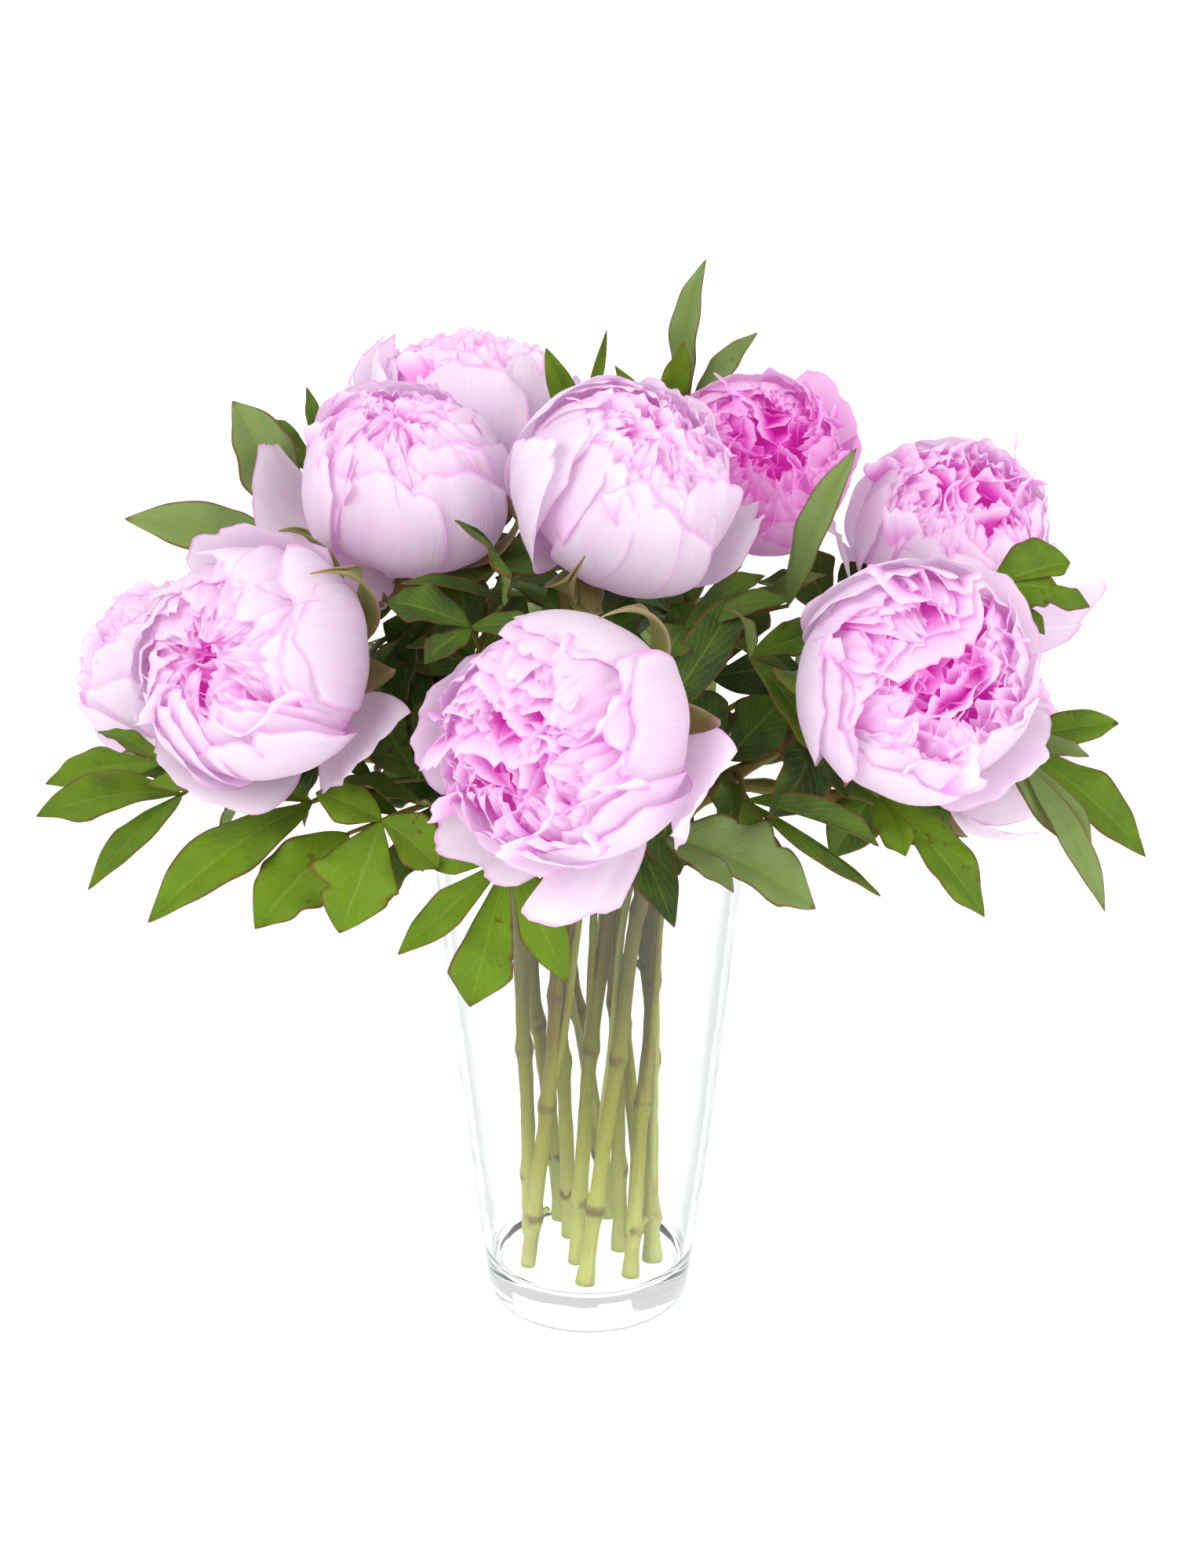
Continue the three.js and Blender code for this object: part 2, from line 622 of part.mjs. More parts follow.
// The leaflets of a spray are one thin sheet, laid out in the plane that faces `face` best. They share
// their joint and the webs between them. Each keeps to its own wedge of the plane, and is folded along
// its midrib, arched from joint to tip and rolled, all at right angles to the plane.
function leafSheet(joint, leaflets, face, grow) {
  const runs = leaflets.map(({ tip }) => seen(tip).sub(joint));
  const mean = (all) => all.reduce((sum, one) => sum.add(one), vec(0, 0, 0)).normalize();
  const out = mean(runs.map((run) => face.clone().projectOnPlane(run).normalize()));
  const ahead = mean(runs.map((run) => run.clone().projectOnPlane(out).normalize()));
  const across = ahead.clone().cross(out);
  const order = leaflets
    .map((leaf, k) => ({ leaf, run: runs[k], flat: runs[k].clone().projectOnPlane(out) }))
    .map((one) => ({ ...one, turn: Math.atan2(one.flat.dot(across), one.flat.dot(ahead)) }))
    .sort((a, b) => a.turn - b.turn);

  const points = [];
  const put = (place) => points.push(place) - 1;
  const hub = put(joint.clone());
  const web = (turn, reach) => {
    const way = ahead.clone().multiplyScalar(Math.cos(turn)).addScaledVector(across, Math.sin(turn));
    return put(joint.clone().addScaledVector(way, reach + grow));
  };
  const [first, last] = [order[0].turn, order[order.length - 1].turn];
  const outer = Math.min(Math.PI / 2, LEAF.wedge * (2 * Math.PI - last + first));
  const webs = [web(first - outer, LEAF.heel)];
  for (let k = 1; k < order.length; k++) webs.push(web((order[k - 1].turn + order[k].turn) / 2, LEAF.web));
  webs.push(web(last + outer, LEAF.heel));

  const faces = [];
  const quad = (a, b, c, d) => faces.push([a, b, c], [a, c, d]);
  const edge = [webs[0]];
  order.forEach(({ leaf, run, flat, turn }, k) => {
    const { wide, roll = 0, bow = LEAF.bow } = leaf;
    const length = run.length();
    const side = flat.clone().normalize().cross(out);
    const room = (t) => {
      const beside = order[k + t];
      return t && beside ? flat.length() * Math.tan(LEAF.wedge * Math.abs(beside.turn - turn)) : Infinity;
    };
    const at = (s, t) => {
      const half = Math.min((wide / 2 + grow) * outline(s), s * room(t));
      const rise = 4 * bow * length * s * (1 - s) + (LEAF.fold * Math.abs(t) - t * Math.sin(rad(roll))) * half;
      return joint.clone().addScaledVector(run, s * (1 + grow / length))
        .addScaledVector(side, t * half * Math.cos(rad(roll))).addScaledVector(out, rise);
    };
    let row = [webs[k], hub, webs[k + 1]];
    const left = [];
    const right = [];
    for (const s of LEAF.rows) {
      const next = [-1, 0, 1].map((t) => put(at(s, t)));
      quad(row[0], row[1], next[1], next[0]);
      quad(row[1], row[2], next[2], next[1]);
      left.push(next[0]);
      right.unshift(next[2]);
      row = next;
    }
    const tip = put(at(1, 0));
    faces.push([row[0], row[1], tip], [row[1], row[2], tip]);
    edge.push(...left, tip, ...right, webs[k + 1]);
  });
  edge.push(hub);
  return sheetSolid(points, out.multiplyScalar(LEAF.thickness / 2 + grow), faces, edge);
}

// A closed solid from a sheet's points: each of its faces on both sides, and a rim along its edge.
function sheetSolid(points, half, faces, edge) {
  const places = [1, -1].flatMap((sign) => points.map((point) => point.clone().addScaledVector(half, sign)));
  const below = points.length;
  const index = [];
  for (const [a, b, c] of faces) index.push(a, b, c, below + a, below + c, below + b);
  edge.forEach((a, k) => {
    const b = edge[(k + 1) % edge.length];
    index.push(a, b, below + b, a, below + b, below + a);
  });
  return solid(new THREE.BufferGeometry().setFromPoints(places).setIndex(index));
}

// The stalk of a spray: out of the stem, over the vase's rim and up to the joint.
function stalk(from, to, above, grow) {
  const middle = from.clone().lerp(to, 0.5).add(vec(0, 0, above));
  const curve = new THREE.QuadraticBezierCurve3(from, middle, to);
  return rod(curve, [0, 0.5, 1].map((share) => [share, STALK.radius + grow]), STALK.sides);
}

// The middle of a stem at a height, on the straight runs between its stations.
function stemMiddle(curve, height) {
  const places = stemStations(curve).map(([share]) => curve.getPointAt(share));
  const over = places.findIndex((place) => place.z >= height);
  const [low, high] = [places[over - 1], places[over]];
  return low.clone().lerp(high, (height - low.z) / (high.z - low.z));
}

function spraySolid(spray, curve, grow = 0) {
  const joint = seen(spray.joint);
  const face = vec(0, spray.back ? LEAF.lean : -LEAF.lean, 1).normalize();
  return union([
    stalk(stemMiddle(curve, spray.from), joint, spray.above ?? STALK.above, grow),
    leafSheet(joint, spray.leaflets, face, grow),
  ]);
}

// A green sepal: it starts in the stem's cup and lies against the bloom from below.
function sepalSolid(flower, turn) {
  const frame = frameOf(flower);
  const point = (s, t) => {
    const angle = lerp(rad(SEPAL.foot), rad(SEPAL.tip), s * (1 - 0.2 * t * t * s));
    const width = rad(SEPAL.half) * Math.sin(Math.PI * (0.25 + 0.6 * s));
    const reach = flower.radius * lerp(SEPAL.root, SEPAL.reach, s);
    return onBall(frame, flower.long ?? 1, angle, rad(turn) + t * width, reach);
  };
  return blade(point, 2, 2, PETAL.thickness);
}

// ---- Assembly -----------------------------------------------------------------------------
const MATERIAL = {
  glass: new THREE.MeshStandardMaterial({
    color: 0xeaf6f4, roughness: 0.05, metalness: 0, transparent: true, opacity: 0.35,
  }),
  petals: new THREE.MeshStandardMaterial({ color: 0xf0bfe0, roughness: 0.6, metalness: 0 }),
  green: new THREE.MeshStandardMaterial({ color: 0x5f8f35, roughness: 0.55, metalness: 0 }),
};

const bouquet = new THREE.Group();

function add(name, made, material) {
  const mesh = new THREE.Mesh(geometryOf(made), material);
  mesh.name = name;
  bouquet.add(mesh);
}

const vase = vaseSolid();
add("vase", vase, MATERIAL.glass);

const clearOf = (made, rooms) => rooms.reduce((left, room) => left.subtract(room), made);

// Later blooms are cut clear of earlier ones, and leaves of everything that was there before.
const rooms = [];
for (const flower of FLOWERS) {
  add("bloom_" + flower.name, whole(clearOf(bloomSolid(flower), rooms)), MATERIAL.petals);
  rooms.push(bloomRoom(flower));
}

const stems = FLOWERS.map((flower) => stemSolid(flower));
const stemRooms = FLOWERS.map((flower) => stemSolid(flower, GAP));
const taken = [vaseSolid(GAP), ...rooms];
FLOWERS.forEach((flower, k) => {
  const others = (all) => all.filter((_, j) => j !== k);
  const curve = stemCurve(flower);
  const own = SPRAYS.filter((spray) => spray.on === flower.name);
  const sprays = (grow) => union(own.map((spray) => spraySolid(spray, curve, grow)));
  const parts = [stems[k], clearOf(sprays(0), [...taken, ...others(stemRooms)])];
  if (!flower.plain) {
    const sepals = union(SEPAL.turns.map((turn) => sepalSolid(flower, turn)));
    parts.push(clearOf(sepals, [...others(rooms), union(loosePetals(flower, GAP))]));
  }
  add("stem_" + flower.name, whole(union(parts)), MATERIAL.green);
  taken.push(sprays(GAP));
});

export default bouquet;
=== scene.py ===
"""Peonies in a clear glass vase: the looks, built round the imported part.

Metres, +Z up. The origin is the middle of the vase's foot, and -Y faces the viewer. The tables
below are in millimetres, as in the part's own source.
"""

import math

import bpy
import numpy as np
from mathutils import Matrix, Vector

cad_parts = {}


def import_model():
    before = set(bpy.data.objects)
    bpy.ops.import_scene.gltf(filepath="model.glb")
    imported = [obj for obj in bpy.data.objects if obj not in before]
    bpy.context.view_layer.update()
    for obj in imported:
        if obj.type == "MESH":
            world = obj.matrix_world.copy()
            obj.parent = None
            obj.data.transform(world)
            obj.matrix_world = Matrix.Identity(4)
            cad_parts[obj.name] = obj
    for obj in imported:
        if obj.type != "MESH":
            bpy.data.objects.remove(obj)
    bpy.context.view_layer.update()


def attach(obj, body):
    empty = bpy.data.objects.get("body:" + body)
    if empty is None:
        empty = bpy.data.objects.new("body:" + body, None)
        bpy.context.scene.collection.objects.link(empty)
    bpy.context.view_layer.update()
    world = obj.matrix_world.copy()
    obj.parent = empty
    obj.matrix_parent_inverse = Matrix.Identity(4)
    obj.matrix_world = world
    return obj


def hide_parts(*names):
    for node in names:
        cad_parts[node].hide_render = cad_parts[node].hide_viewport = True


MM = 0.001
TAU = 2 * math.pi
# each bloom and each stem draws its own chances, from this seed plus its number in FLOWERS
SEEDS = {"bloom": 100, "stem": 300}

# ---- The front view that places the blooms and leaves ---------------------------------------
# A picture 1500 x 1998 points large, taken from `distance`, looking `pitch` degrees down at the
# vase's axis. seen(u, v, y) is the place at picture point (u, v) that lies y behind the axis.
PICTURE = (1500, 1998)
VIEW = {"focal": 4582, "distance": 1620, "aim": 262, "pitch": 23.5}
PITCH = math.radians(VIEW["pitch"])
FORWARD = np.array([0, math.cos(PITCH), -math.sin(PITCH)])
UPWARD = np.array([0, math.sin(PITCH), math.cos(PITCH)])
EYE = np.array([0, 0, VIEW["aim"]]) - VIEW["distance"] * FORWARD


def seen(u, v, y):
    ray = FORWARD + np.array([(u - PICTURE[0] / 2) / VIEW["focal"], 0, 0])
    ray = ray - (v - PICTURE[1] / 2) / VIEW["focal"] * UPWARD
    return EYE + ray * (y - EYE[1]) / ray[1]


# ---- The vase, stems and blooms in mm -------------------------------------------------------
VASE = {"height": 250, "foot": 47, "rim": 72.5, "wall": 4, "floor": 20, "edge": 7, "belly": 1.5}
STEM = {"radius": 3.6, "top": 2.8, "cup": 6, "cup_height": 9, "straight": 34}
RING = {"foot": 32, "waist": 30, "neck": 47, "twist": 55, "waist_height": 130}
HEART = 0.64  # the heart's reach, as a share of the bloom's radius
GAP = 0.5

# at: picture point and depth of the bloom's middle. heading and rise: where it opens to, in
# degrees from the viewer towards the right and above the horizon. open: half angle of its mouth.
# long: how much longer than wide it is. neck: where the stem passes the rim, in degrees round the
# vase's axis, and its share of RING["neck"]. loose: guard petals that stand away: (turn, tip angle,
# half width, lift). bracts: long green and brown leaves beside the bloom: (turn, tip angle, half
# width). blush: how deep a pink.
FLOWERS = {
    "front_left": dict(
        at=(325, 850, -70), radius=52, heading=-30, rise=26, open=42, neck=(-152, 1),
        loose=[(250, 112, 36, 0.16), (330, 84, 34, 0.2), (112, 105, 42, 0.12)], blush=0.2,
        bracts=[(52, 116, 13), (84, 104, 10)],
    ),
    "front_middle": dict(
        at=(722, 945, -122), radius=54, heading=-34, rise=12, open=58, long=1.08, neck=(-97, 1),
        loose=[(230, 110, 30, 0.3), (270, 101, 22, 0.34), (345, 98, 30, 0.24), (184, 122, 34, 0.15)],
        blush=0.3, bracts=[(72, 104, 8)],
    ),
    "front_right": dict(
        at=(1170, 868, -72), radius=52, heading=13, rise=30, open=58, neck=(-38, 1),
        loose=[(315, 104, 40, 0.22), (30, 100, 40, 0.16)], blush=0.42,
    ),
    "upper_left": dict(
        at=(512, 618, 0), radius=46, heading=0, rise=72, open=44, neck=(180, 0.48),
        loose=[(228, 98, 34, 0.36), (168, 104, 34, 0.34)], blush=0.34,
        bracts=[(348, 106, 13), (262, 66, 22)],
    ),
    "crown": dict(
        at=(795, 622, -25), radius=48, heading=42, rise=55, open=44, neck=(-60, 0.45),
        loose=[(165, 124, 30, 0.14), (322, 104, 34, 0.26)], blush=0.1,
        bracts=[(212, 96, 13), (236, 60, 18)],
    ),
    "upper_right": dict(
        at=(968, 590, 50), radius=41, heading=6, rise=34, open=58, neck=(52, 0.48),
        loose=[(30, 112, 38, 0.14)], blush=0.9,
    ),
    "back_right": dict(
        at=(1216, 684, 72), radius=47, heading=20, rise=56, open=60, neck=(34, 1),
        loose=[(185, 104, 38, 0.26), (235, 96, 34, 0.24), (328, 92, 40, 0.56)], blush=0.3,
    ),
    "back_left": dict(
        at=(598, 522, 98), radius=43, heading=178, rise=66, open=58, neck=(126, 1),
        loose=[
            (160, 104, 38, 0.3), (15, 106, 40, 0.36), (20, 130, 40, 0.18), (345, 136, 44, 0.2),
            (290, 142, 36, 0.16), (245, 136, 30, 0.1),
        ],
        blush=0.1,
    ),
    "far_left": dict(
        at=(203, 852, 50), radius=41, heading=-104, rise=30, open=56, neck=(170, 1),
        loose=[(190, 100, 40, 0.2)], blush=0.2,
    ),
    "low_right": dict(
        at=(1262, 948, 36), radius=39, heading=112, rise=16, open=56, neck=(2, 1),
        loose=[(250, 96, 40, 0.22)], blush=0.34,
    ),
    "rear": dict(
        at=(777, 612, 156), radius=44, heading=176, rise=42, open=58, neck=(84, 1),
        loose=[(30, 100, 40, 0.2), (160, 98, 38, 0.2)], blush=0.2,
    ),
}

# A spray is one compound leaf: (stem, height, arch, joint, age_and_shade, leaflets). Its stalk leaves the
# stem at that height, arches over the straight line and ends at the joint. age_and_shade is 0 for a bright
# young leaf and 1 for a dark one, and below 0 the leaf shows its grey underside; the dark ones sit under
# the blooms and deep in the bunch, so their darkness is partly an older leaf's green and partly painted
# shade. A leaflet is (tip, width, roll, bow), with no roll and the common bow where they aren't given.
# Joints and tips are picture points with a depth. A spray faces backwards if its first tip is this much
# deeper than its joint.
FACING_BACK = 40
SPRAYS = [
    ("far_left", 272, -6, (232, 1012, -36), 0.35, [((47, 1041, -84), 23, -14), ((114, 1128, -90), 16, 12)]),
    ("far_left", 268, -10, (206, 972, -28), 0.25, [((58, 998, -44), 21), ((128, 928, -4), 14, 20)]),
    ("front_left", 272, 8, (398, 1022, -50), 0.1, [((186, 998, -56), 26, 4), ((183, 1163, -96), 28)]),
    (
        "front_left", 262, 8, (486, 1046, -84), 0,
        [((440, 1190, -112), 38, 8), ((404, 1006, -82), 24, 10), ((562, 1102, -94), 25)],
    ),
    ("front_left", 268, 0, (444, 1062, -60), 0.05, [((328, 1186, -92), 32, -6)]),
    (
        "front_middle", 262, 8, (648, 1092, -84), 0,
        [
            ((606, 1284, -98), 44), ((722, 1250, -98), 22),
            ((512, 1222, -104), 18, 10), ((536, 1104, -90), 14, -10),
        ],
    ),
    (
        "front_middle", 280, -6, (848, 1066, -76), -0.5,
        [((1042, 1147, -92), 40, 6), ((932, 1136, -110), 19, -16)],
    ),
    (
        "front_right", 276, 8, (950, 1020, -62), 0.8,
        [
            ((984, 1146, -84), 22), ((1120, 1080, -90), 20, 10),
            ((1124, 1140, -66), 19, -12),
        ],
    ),
    (
        "front_right", 290, 8, (1122, 1016, -40), 0.15,
        [((1258, 1164, -70), 29), ((1152, 1088, -72), 19, 20)],
    ),
    (
        "front_right", 306, 0, (1290, 944, -14), 0.25,
        [((1460, 1091, -24), 27), ((1428, 924, -12), 16, 14)],
    ),
    (
        "front_right", 304, 0, (1286, 948, -20), -0.5,
        [((1384, 1098, -52), 25, -16), ((1388, 964, -40), 10, 8)],
    ),
    ("front_right", 302, 0, (1306, 976, -34), -0.5, [((1410, 1160, -66), 13, 14)]),
    (
        "front_right", 306, -2, (1264, 750, 4), 0.3,
        [((1364, 716, 2), 29, 6), ((1388, 776, -6), 24, -6), ((1330, 808, -8), 16, -10)],
    ),
    ("front_right", 308, -2, (1260, 748, 2), 0.25, [((1350, 754, -2), 28, -4)]),
    (
        "front_right", 300, 8, (955, 838, -40), 0.55,
        [((1050, 984, -34), 22, 6), ((1040, 806, -26), 17, 24), ((926, 764, -78), 14, 20)],
    ),
    ("upper_right", 300, 8, (1004, 772, 0), -0.7, [((1094, 574, -12), 18, -20, 0.12)]),
    (
        "crown", 300, 8, (872, 800, -40), 0.9,
        [((1008, 757, -34), 12, 10), ((974, 730, -20), 11, 20), ((846, 838, -62), 18, -20)],
    ),
    (
        "upper_left", 300, 8, (640, 770, -30), 0.9,
        [((588, 664, -68), 32, 0, 0.12), ((512, 742, -52), 14, 10)],
    ),
    (
        "upper_left", 280, 8, (600, 800, -52), 0.95,
        [((492, 764, -56), 24, -6), ((540, 842, -66), 18, 8), ((690, 800, -64), 13, 4)],
    ),
    ("front_left", 304, -6, (382, 702, 26), -0.7, [((291, 513, 30), 31, 6), ((162, 668, 8), 25, -6)]),
    ("back_left", 320, 8, (410, 600, 62), 0.6, [((334, 534, 58), 19, 20), ((388, 494, 66), 8, -10)]),
    ("crown", 357, -6, (740, 560, 70), 0.3, [((700, 444, 58), 13), ((768, 420, 60), 6)]),
    ("upper_right", 340, 8, (836, 556, 86), 0.1, [((866, 436, 68), 16), ((784, 468, 66), 10)]),
    (
        "upper_right", 352, -2, (878, 520, 102), -0.6,
        [((966, 428, 84), 14, -6), ((896, 334, 86), 15, 6, 0.12)],
    ),
    (
        "upper_left", 285, 6, (600, 852, 8), 1,
        [((488, 792, 14), 30), ((584, 716, 22), 30, 8), ((672, 762, 16), 27, -8)],
    ),
    ("crown", 290, 6, (760, 836, 0), 1, [((700, 742, 10), 27), ((796, 744, 14), 26)]),
    (
        "upper_right", 285, 6, (905, 862, 12), 1,
        [((856, 768, 20), 27), ((966, 756, 26), 29), ((1020, 850, 18), 28)],
    ),
    ("front_right", 280, 4, (925, 968, -22), 1, [((868, 878, -16), 28), ((1000, 890, -10), 29)]),
    ("front_left", 280, 4, (532, 990, -34), 0.9, [((470, 900, -20), 28), ((560, 890, -22), 26)]),
    (
        "back_right", 268, 4, (1120, 1000, 10), 0.8,
        [((1060, 1090, 0), 26), ((1210, 1080, 0), 28), ((1040, 960, 10), 26)],
    ),
    ("back_left", 300, 6, (470, 720, 70), 0.9, [((400, 640, 74), 26), ((452, 800, 80), 26)]),
    (
        "back_right", 290, 6, (1060, 780, 60), 0.9,
        [((1010, 700, 66), 26), ((1110, 720, 70), 26), ((1080, 860, 56), 26)],
    ),
    (
        "rear", 290, 8, (700, 760, 120), 0.7,
        [((600, 720, 170), 22), ((640, 820, 176), 24), ((730, 880, 168), 20)],
    ),
    (
        "rear", 285, 8, (850, 780, 118), 0.6,
        [((816, 890, 176), 19), ((904, 900, 160), 19), ((960, 800, 166), 24)],
    ),
    (
        "back_right", 264, 0, (1090, 900, 70), 0.6,
        [((1016, 900, 140), 22), ((1112, 930, 146), 22), ((1170, 850, 130), 20)],
    ),
    (
        "back_left", 275, 8, (470, 820, 86), 0.5,
        [((380, 820, 140), 24), ((470, 900, 150), 24), ((560, 850, 150), 20)],
    ),
]
# lean: of a spray's face away from level. bow: a leaflet's arch, as a share of its length. fold: how
# steeply its halves rise from the midrib. lobe, lobed: how far a lobe stands out, and from which
# width to which it grows to that. sweep: how far the cross lines run forward at the margins. twist,
# wave, droop, sway: how much it turns, waves, hangs and bends aside. veins: side veins on each half,
# which run vein_bow steps towards the tip, with the skin sunk by quilt between them.
LEAF = {
    "grid": (34, 15), "thick": 0.5, "lean": 0.66, "bow": 0.08, "fold": 0.3, "lobe": 0.5, "lobed": (26, 46),
    "sweep": 0.07, "twist": 0.3, "wave": 0.2, "droop": 0.05, "sway": 0.05, "veins": 9.0, "vein_bow": 3.2,
    "quilt": 0.26,
}
# the two small leaflets on each stalk that is long enough: how far along it they stand, their
# length, width, angle to it and rise, and how young and unshaded they may be
PAIR = {
    "at": 0.62, "length": (34, 50), "wide": (15, 22), "spread": (45, 75), "rise": (-0.2, 0.35),
    "youngest": 0.6, "least_stalk": 45,
}
# the single leaves on each stem: they start above the rim, end `bare_rows` of its rows under the
# bloom, and lean outwards by 45 degrees at `lean_at` from the vase's axis
STEM_LEAF = {
    "count": 10, "above_rim": 10, "bare_rows": 6, "lean_at": 60, "length": (48, 70), "wide": (22, 32),
    "rise": (-0.1, 0.25), "age_and_shade": (0.7, 1.3),
}
OPEN_ROOM = (9, 9)  # the room of a leaflet that has no neighbour on either side


# ---- Small vector tools ---------------------------------------------------------------------
def unit(v):
    return v / np.linalg.norm(v, axis=-1, keepdims=True)


def mix(a, b, share):
    return a + (b - a) * share


def ramp(x, low, high):
    """0 below low, 1 above high and smooth between them."""
    x = np.clip((x - low) / (high - low), 0, 1)
    return x * x * (3 - 2 * x)


def hump(x, middle, width):
    """1 at middle and smoothly down to nothing over about twice the width."""
    return np.exp(-(((x - middle) / width) ** 2))


def flat_on(v, normal):
    """v without the part that runs along the unit vector normal."""
    return v - normal * np.dot(v, normal)


def grid(rows, columns):
    """Steps along a petal or leaf, 0 to 1, as a column, and across it, -1 to 1, as a row."""
    return np.linspace(0, 1, rows)[:, None], np.linspace(-1, 1, columns)[None, :]


def waves(x, rng, counts, reach):
    """A smooth random line over x: one sine for each of counts, in waves across -1..1."""
    total = np.zeros_like(x)
    for count in counts:
        total = total + rng.uniform(0.5, 1) * np.sin(math.pi * count * x + rng.uniform(0, TAU))
    return reach * total / math.sqrt(len(counts))


def cells(ids):
    """The four-sided faces between the points of a grid of numbers."""
    return np.stack([ids[:-1, :-1], ids[:-1, 1:], ids[1:, 1:], ids[1:, :-1]], -1).reshape(-1, 4)


def in_scene(name, data):
    """A new object in the scene with this mesh, camera or light."""
    made = bpy.data.objects.new(name, data)
    bpy.context.scene.collection.objects.link(made)
    return made


TUBE_SEAM = [0.31, 0.95, 0.05]  # a direction that no stem or stalk starts in


class Skin:
    """The faces of one piece, gathered patch by patch, with two marks at each point.

    part is (along, across, side) on the petal, leaf or stem that the point belongs to, and tone is
    (depth inside the bloom or age_and_shade, blush, a random share of its own). Depth and age_and_shade
    both deepen the colour, partly with painted shade.
    """

    def __init__(self):
        self.points, self.parts, self.tones = [], [], []
        self.faces, self.slots = [], []
        self.count = 0

    def add(self, places, part, tone):
        """Points with their marks, which are given for each point or once for all of them."""
        places = places.reshape(-1, 3)
        self.points.append(places)
        for kept, given in ((self.parts, part), (self.tones, tone)):
            kept.append(np.broadcast_to(np.reshape(given, (-1, 3)), places.shape))
        self.count += len(places)
        return self.count - len(places)

    def quads(self, ids, slot, around=False):
        """Faces between the points of a grid of numbers, closed round its columns if asked."""
        if around:
            ids = np.concatenate([ids, ids[:, :1]], 1)
        self.faces.append(cells(ids))
        self.slots.append(np.full(len(self.faces[-1]), slot))

    def sheet(self, places, part, tone, slot=0):
        """A grid of points as one open sheet."""
        start = self.add(places, part, tone)
        self.quads(start + np.arange(places.shape[0] * places.shape[1]).reshape(places.shape[:2]), slot)

    def plate(self, places, thickness, part, tone, slot=0):
        """A grid of points as a thin closed plate: its upper and lower face and the rim between."""
        along = np.gradient(places, axis=0)
        across = np.gradient(places, axis=1)
        out = unit(np.cross(across, along) + 1e-12)
        rows, columns = places.shape[:2]
        ids = np.arange(rows * columns).reshape(rows, columns)
        edge = np.concatenate([ids[0], ids[1:, -1], ids[-1, -2::-1], ids[-2:0:-1, 0]])
        starts = []
        for side in (1, -1):
            here = np.array(part)
            here[..., 2] = side
            starts.append(self.add(places + out * side * thickness / 2, here, tone))
        self.quads(starts[0] + ids, slot)
        self.quads(starts[1] + ids[:, ::-1], slot)
        self.quads(np.stack([starts[1] + edge, starts[0] + edge]), slot, around=True)

    def tube(self, path, radii, sides, part, tone, slot):
        """A round rod through the points of path, closed at both ends."""
        ahead = unit(np.gradient(path, axis=0))
        side = unit(np.cross(ahead[0], TUBE_SEAM))
        rings = []
        angles = np.arange(sides) * TAU / sides
        for place, way, radius in zip(path, ahead, radii):
            side = unit(flat_on(side, way))
            other = np.cross(way, side)
            round_it = np.outer(np.cos(angles), side) + np.outer(np.sin(angles), other)
            rings.append(place + radius * round_it)
        start = self.add(np.array(rings), part, tone)
        ids = start + np.arange(len(path) * sides).reshape(len(path), sides)
        self.quads(ids, slot, around=True)
        for row, order in ((ids[0], -1), (ids[-1], 1)):
            self.faces.append([tuple(row[::order])])
            self.slots.append(np.full(1, slot))

    def piece(self, name, materials):
        """The finished object, standing at the origin with its place in its mesh."""
        mesh = bpy.data.meshes.new(name)
        faces = [tuple(int(k) for k in face) for group in self.faces for face in group]
        mesh.from_pydata(np.concatenate(self.points) * MM, [], faces)
        mesh.polygons.foreach_set("material_index", np.concatenate(self.slots).astype(np.int32))
        for label, values in (("part", self.parts), ("tone", self.tones)):
            data = mesh.attributes.new(label, "FLOAT_VECTOR", "POINT").data
            data.foreach_set("vector", np.concatenate(values).astype(np.float32).ravel())
        for material in materials:
            mesh.materials.append(material)
        mesh.shade_smooth()
        mesh.validate()
        return in_scene(name, mesh)


# ---- Blooms ---------------------------------------------------------------------------------
# The layers of a bloom from its guard petals inwards: how many petals, where they start (degrees
# from the bloom's foot) and end (degrees past the edge of its mouth), half width, distance from its
# middle, how ruffled and torn their tips are, and how deep their colour is.
LAYERS = [
    dict(count=5, foot=12, past=-6, half=43, shell=1.0, ruffle=0.018, depth=0.0),
    dict(count=5, foot=24, past=3, half=42, shell=0.965, ruffle=0.022, depth=0.05),
    dict(count=6, foot=38, past=10, half=37, shell=0.925, ruffle=0.03, depth=0.14),
    dict(count=6, foot=52, past=17, half=33, shell=0.88, ruffle=0.045, depth=0.28),
    dict(count=7, foot=66, past=25, half=29, shell=0.835, ruffle=0.06, depth=0.42),
    dict(count=7, foot=80, past=34, half=27, shell=0.79, ruffle=0.075, depth=0.55),
]
LOOSE = {"foot": 12, "shell": 1.0, "ruffle": 0.024, "torn": 0.5}  # torn: for each unit of lift
BESIDE_LOOSE = 36  # a guard petal nearer than this to a loose one is left out, in degrees
# A petal on the ball, in shares of the bloom's radius: where it starts, how far one edge stands over
# the neighbour's, the ripple over its face, the crease down its middle, how its tip curls and its
# edges flare. foot: its width where it starts, as a share of its full width. sway: sideways.
PETAL = {
    "grid": (24, 25), "root": 0.5, "tilt": 0.065, "foot": 0.74, "sway": 0.035, "ripple": 0.007,
    "crease": 0.012, "curl": (-0.04, 0.05), "flare": (-0.01, 0.035),
}
# the chances that the petals of the inner layers take: degrees of turn and tip, and shares
CHANCE = {"turn": (-7, 7), "tip": (-8, 6), "half": (0.92, 1.08), "sunk": (0, 0.02)}
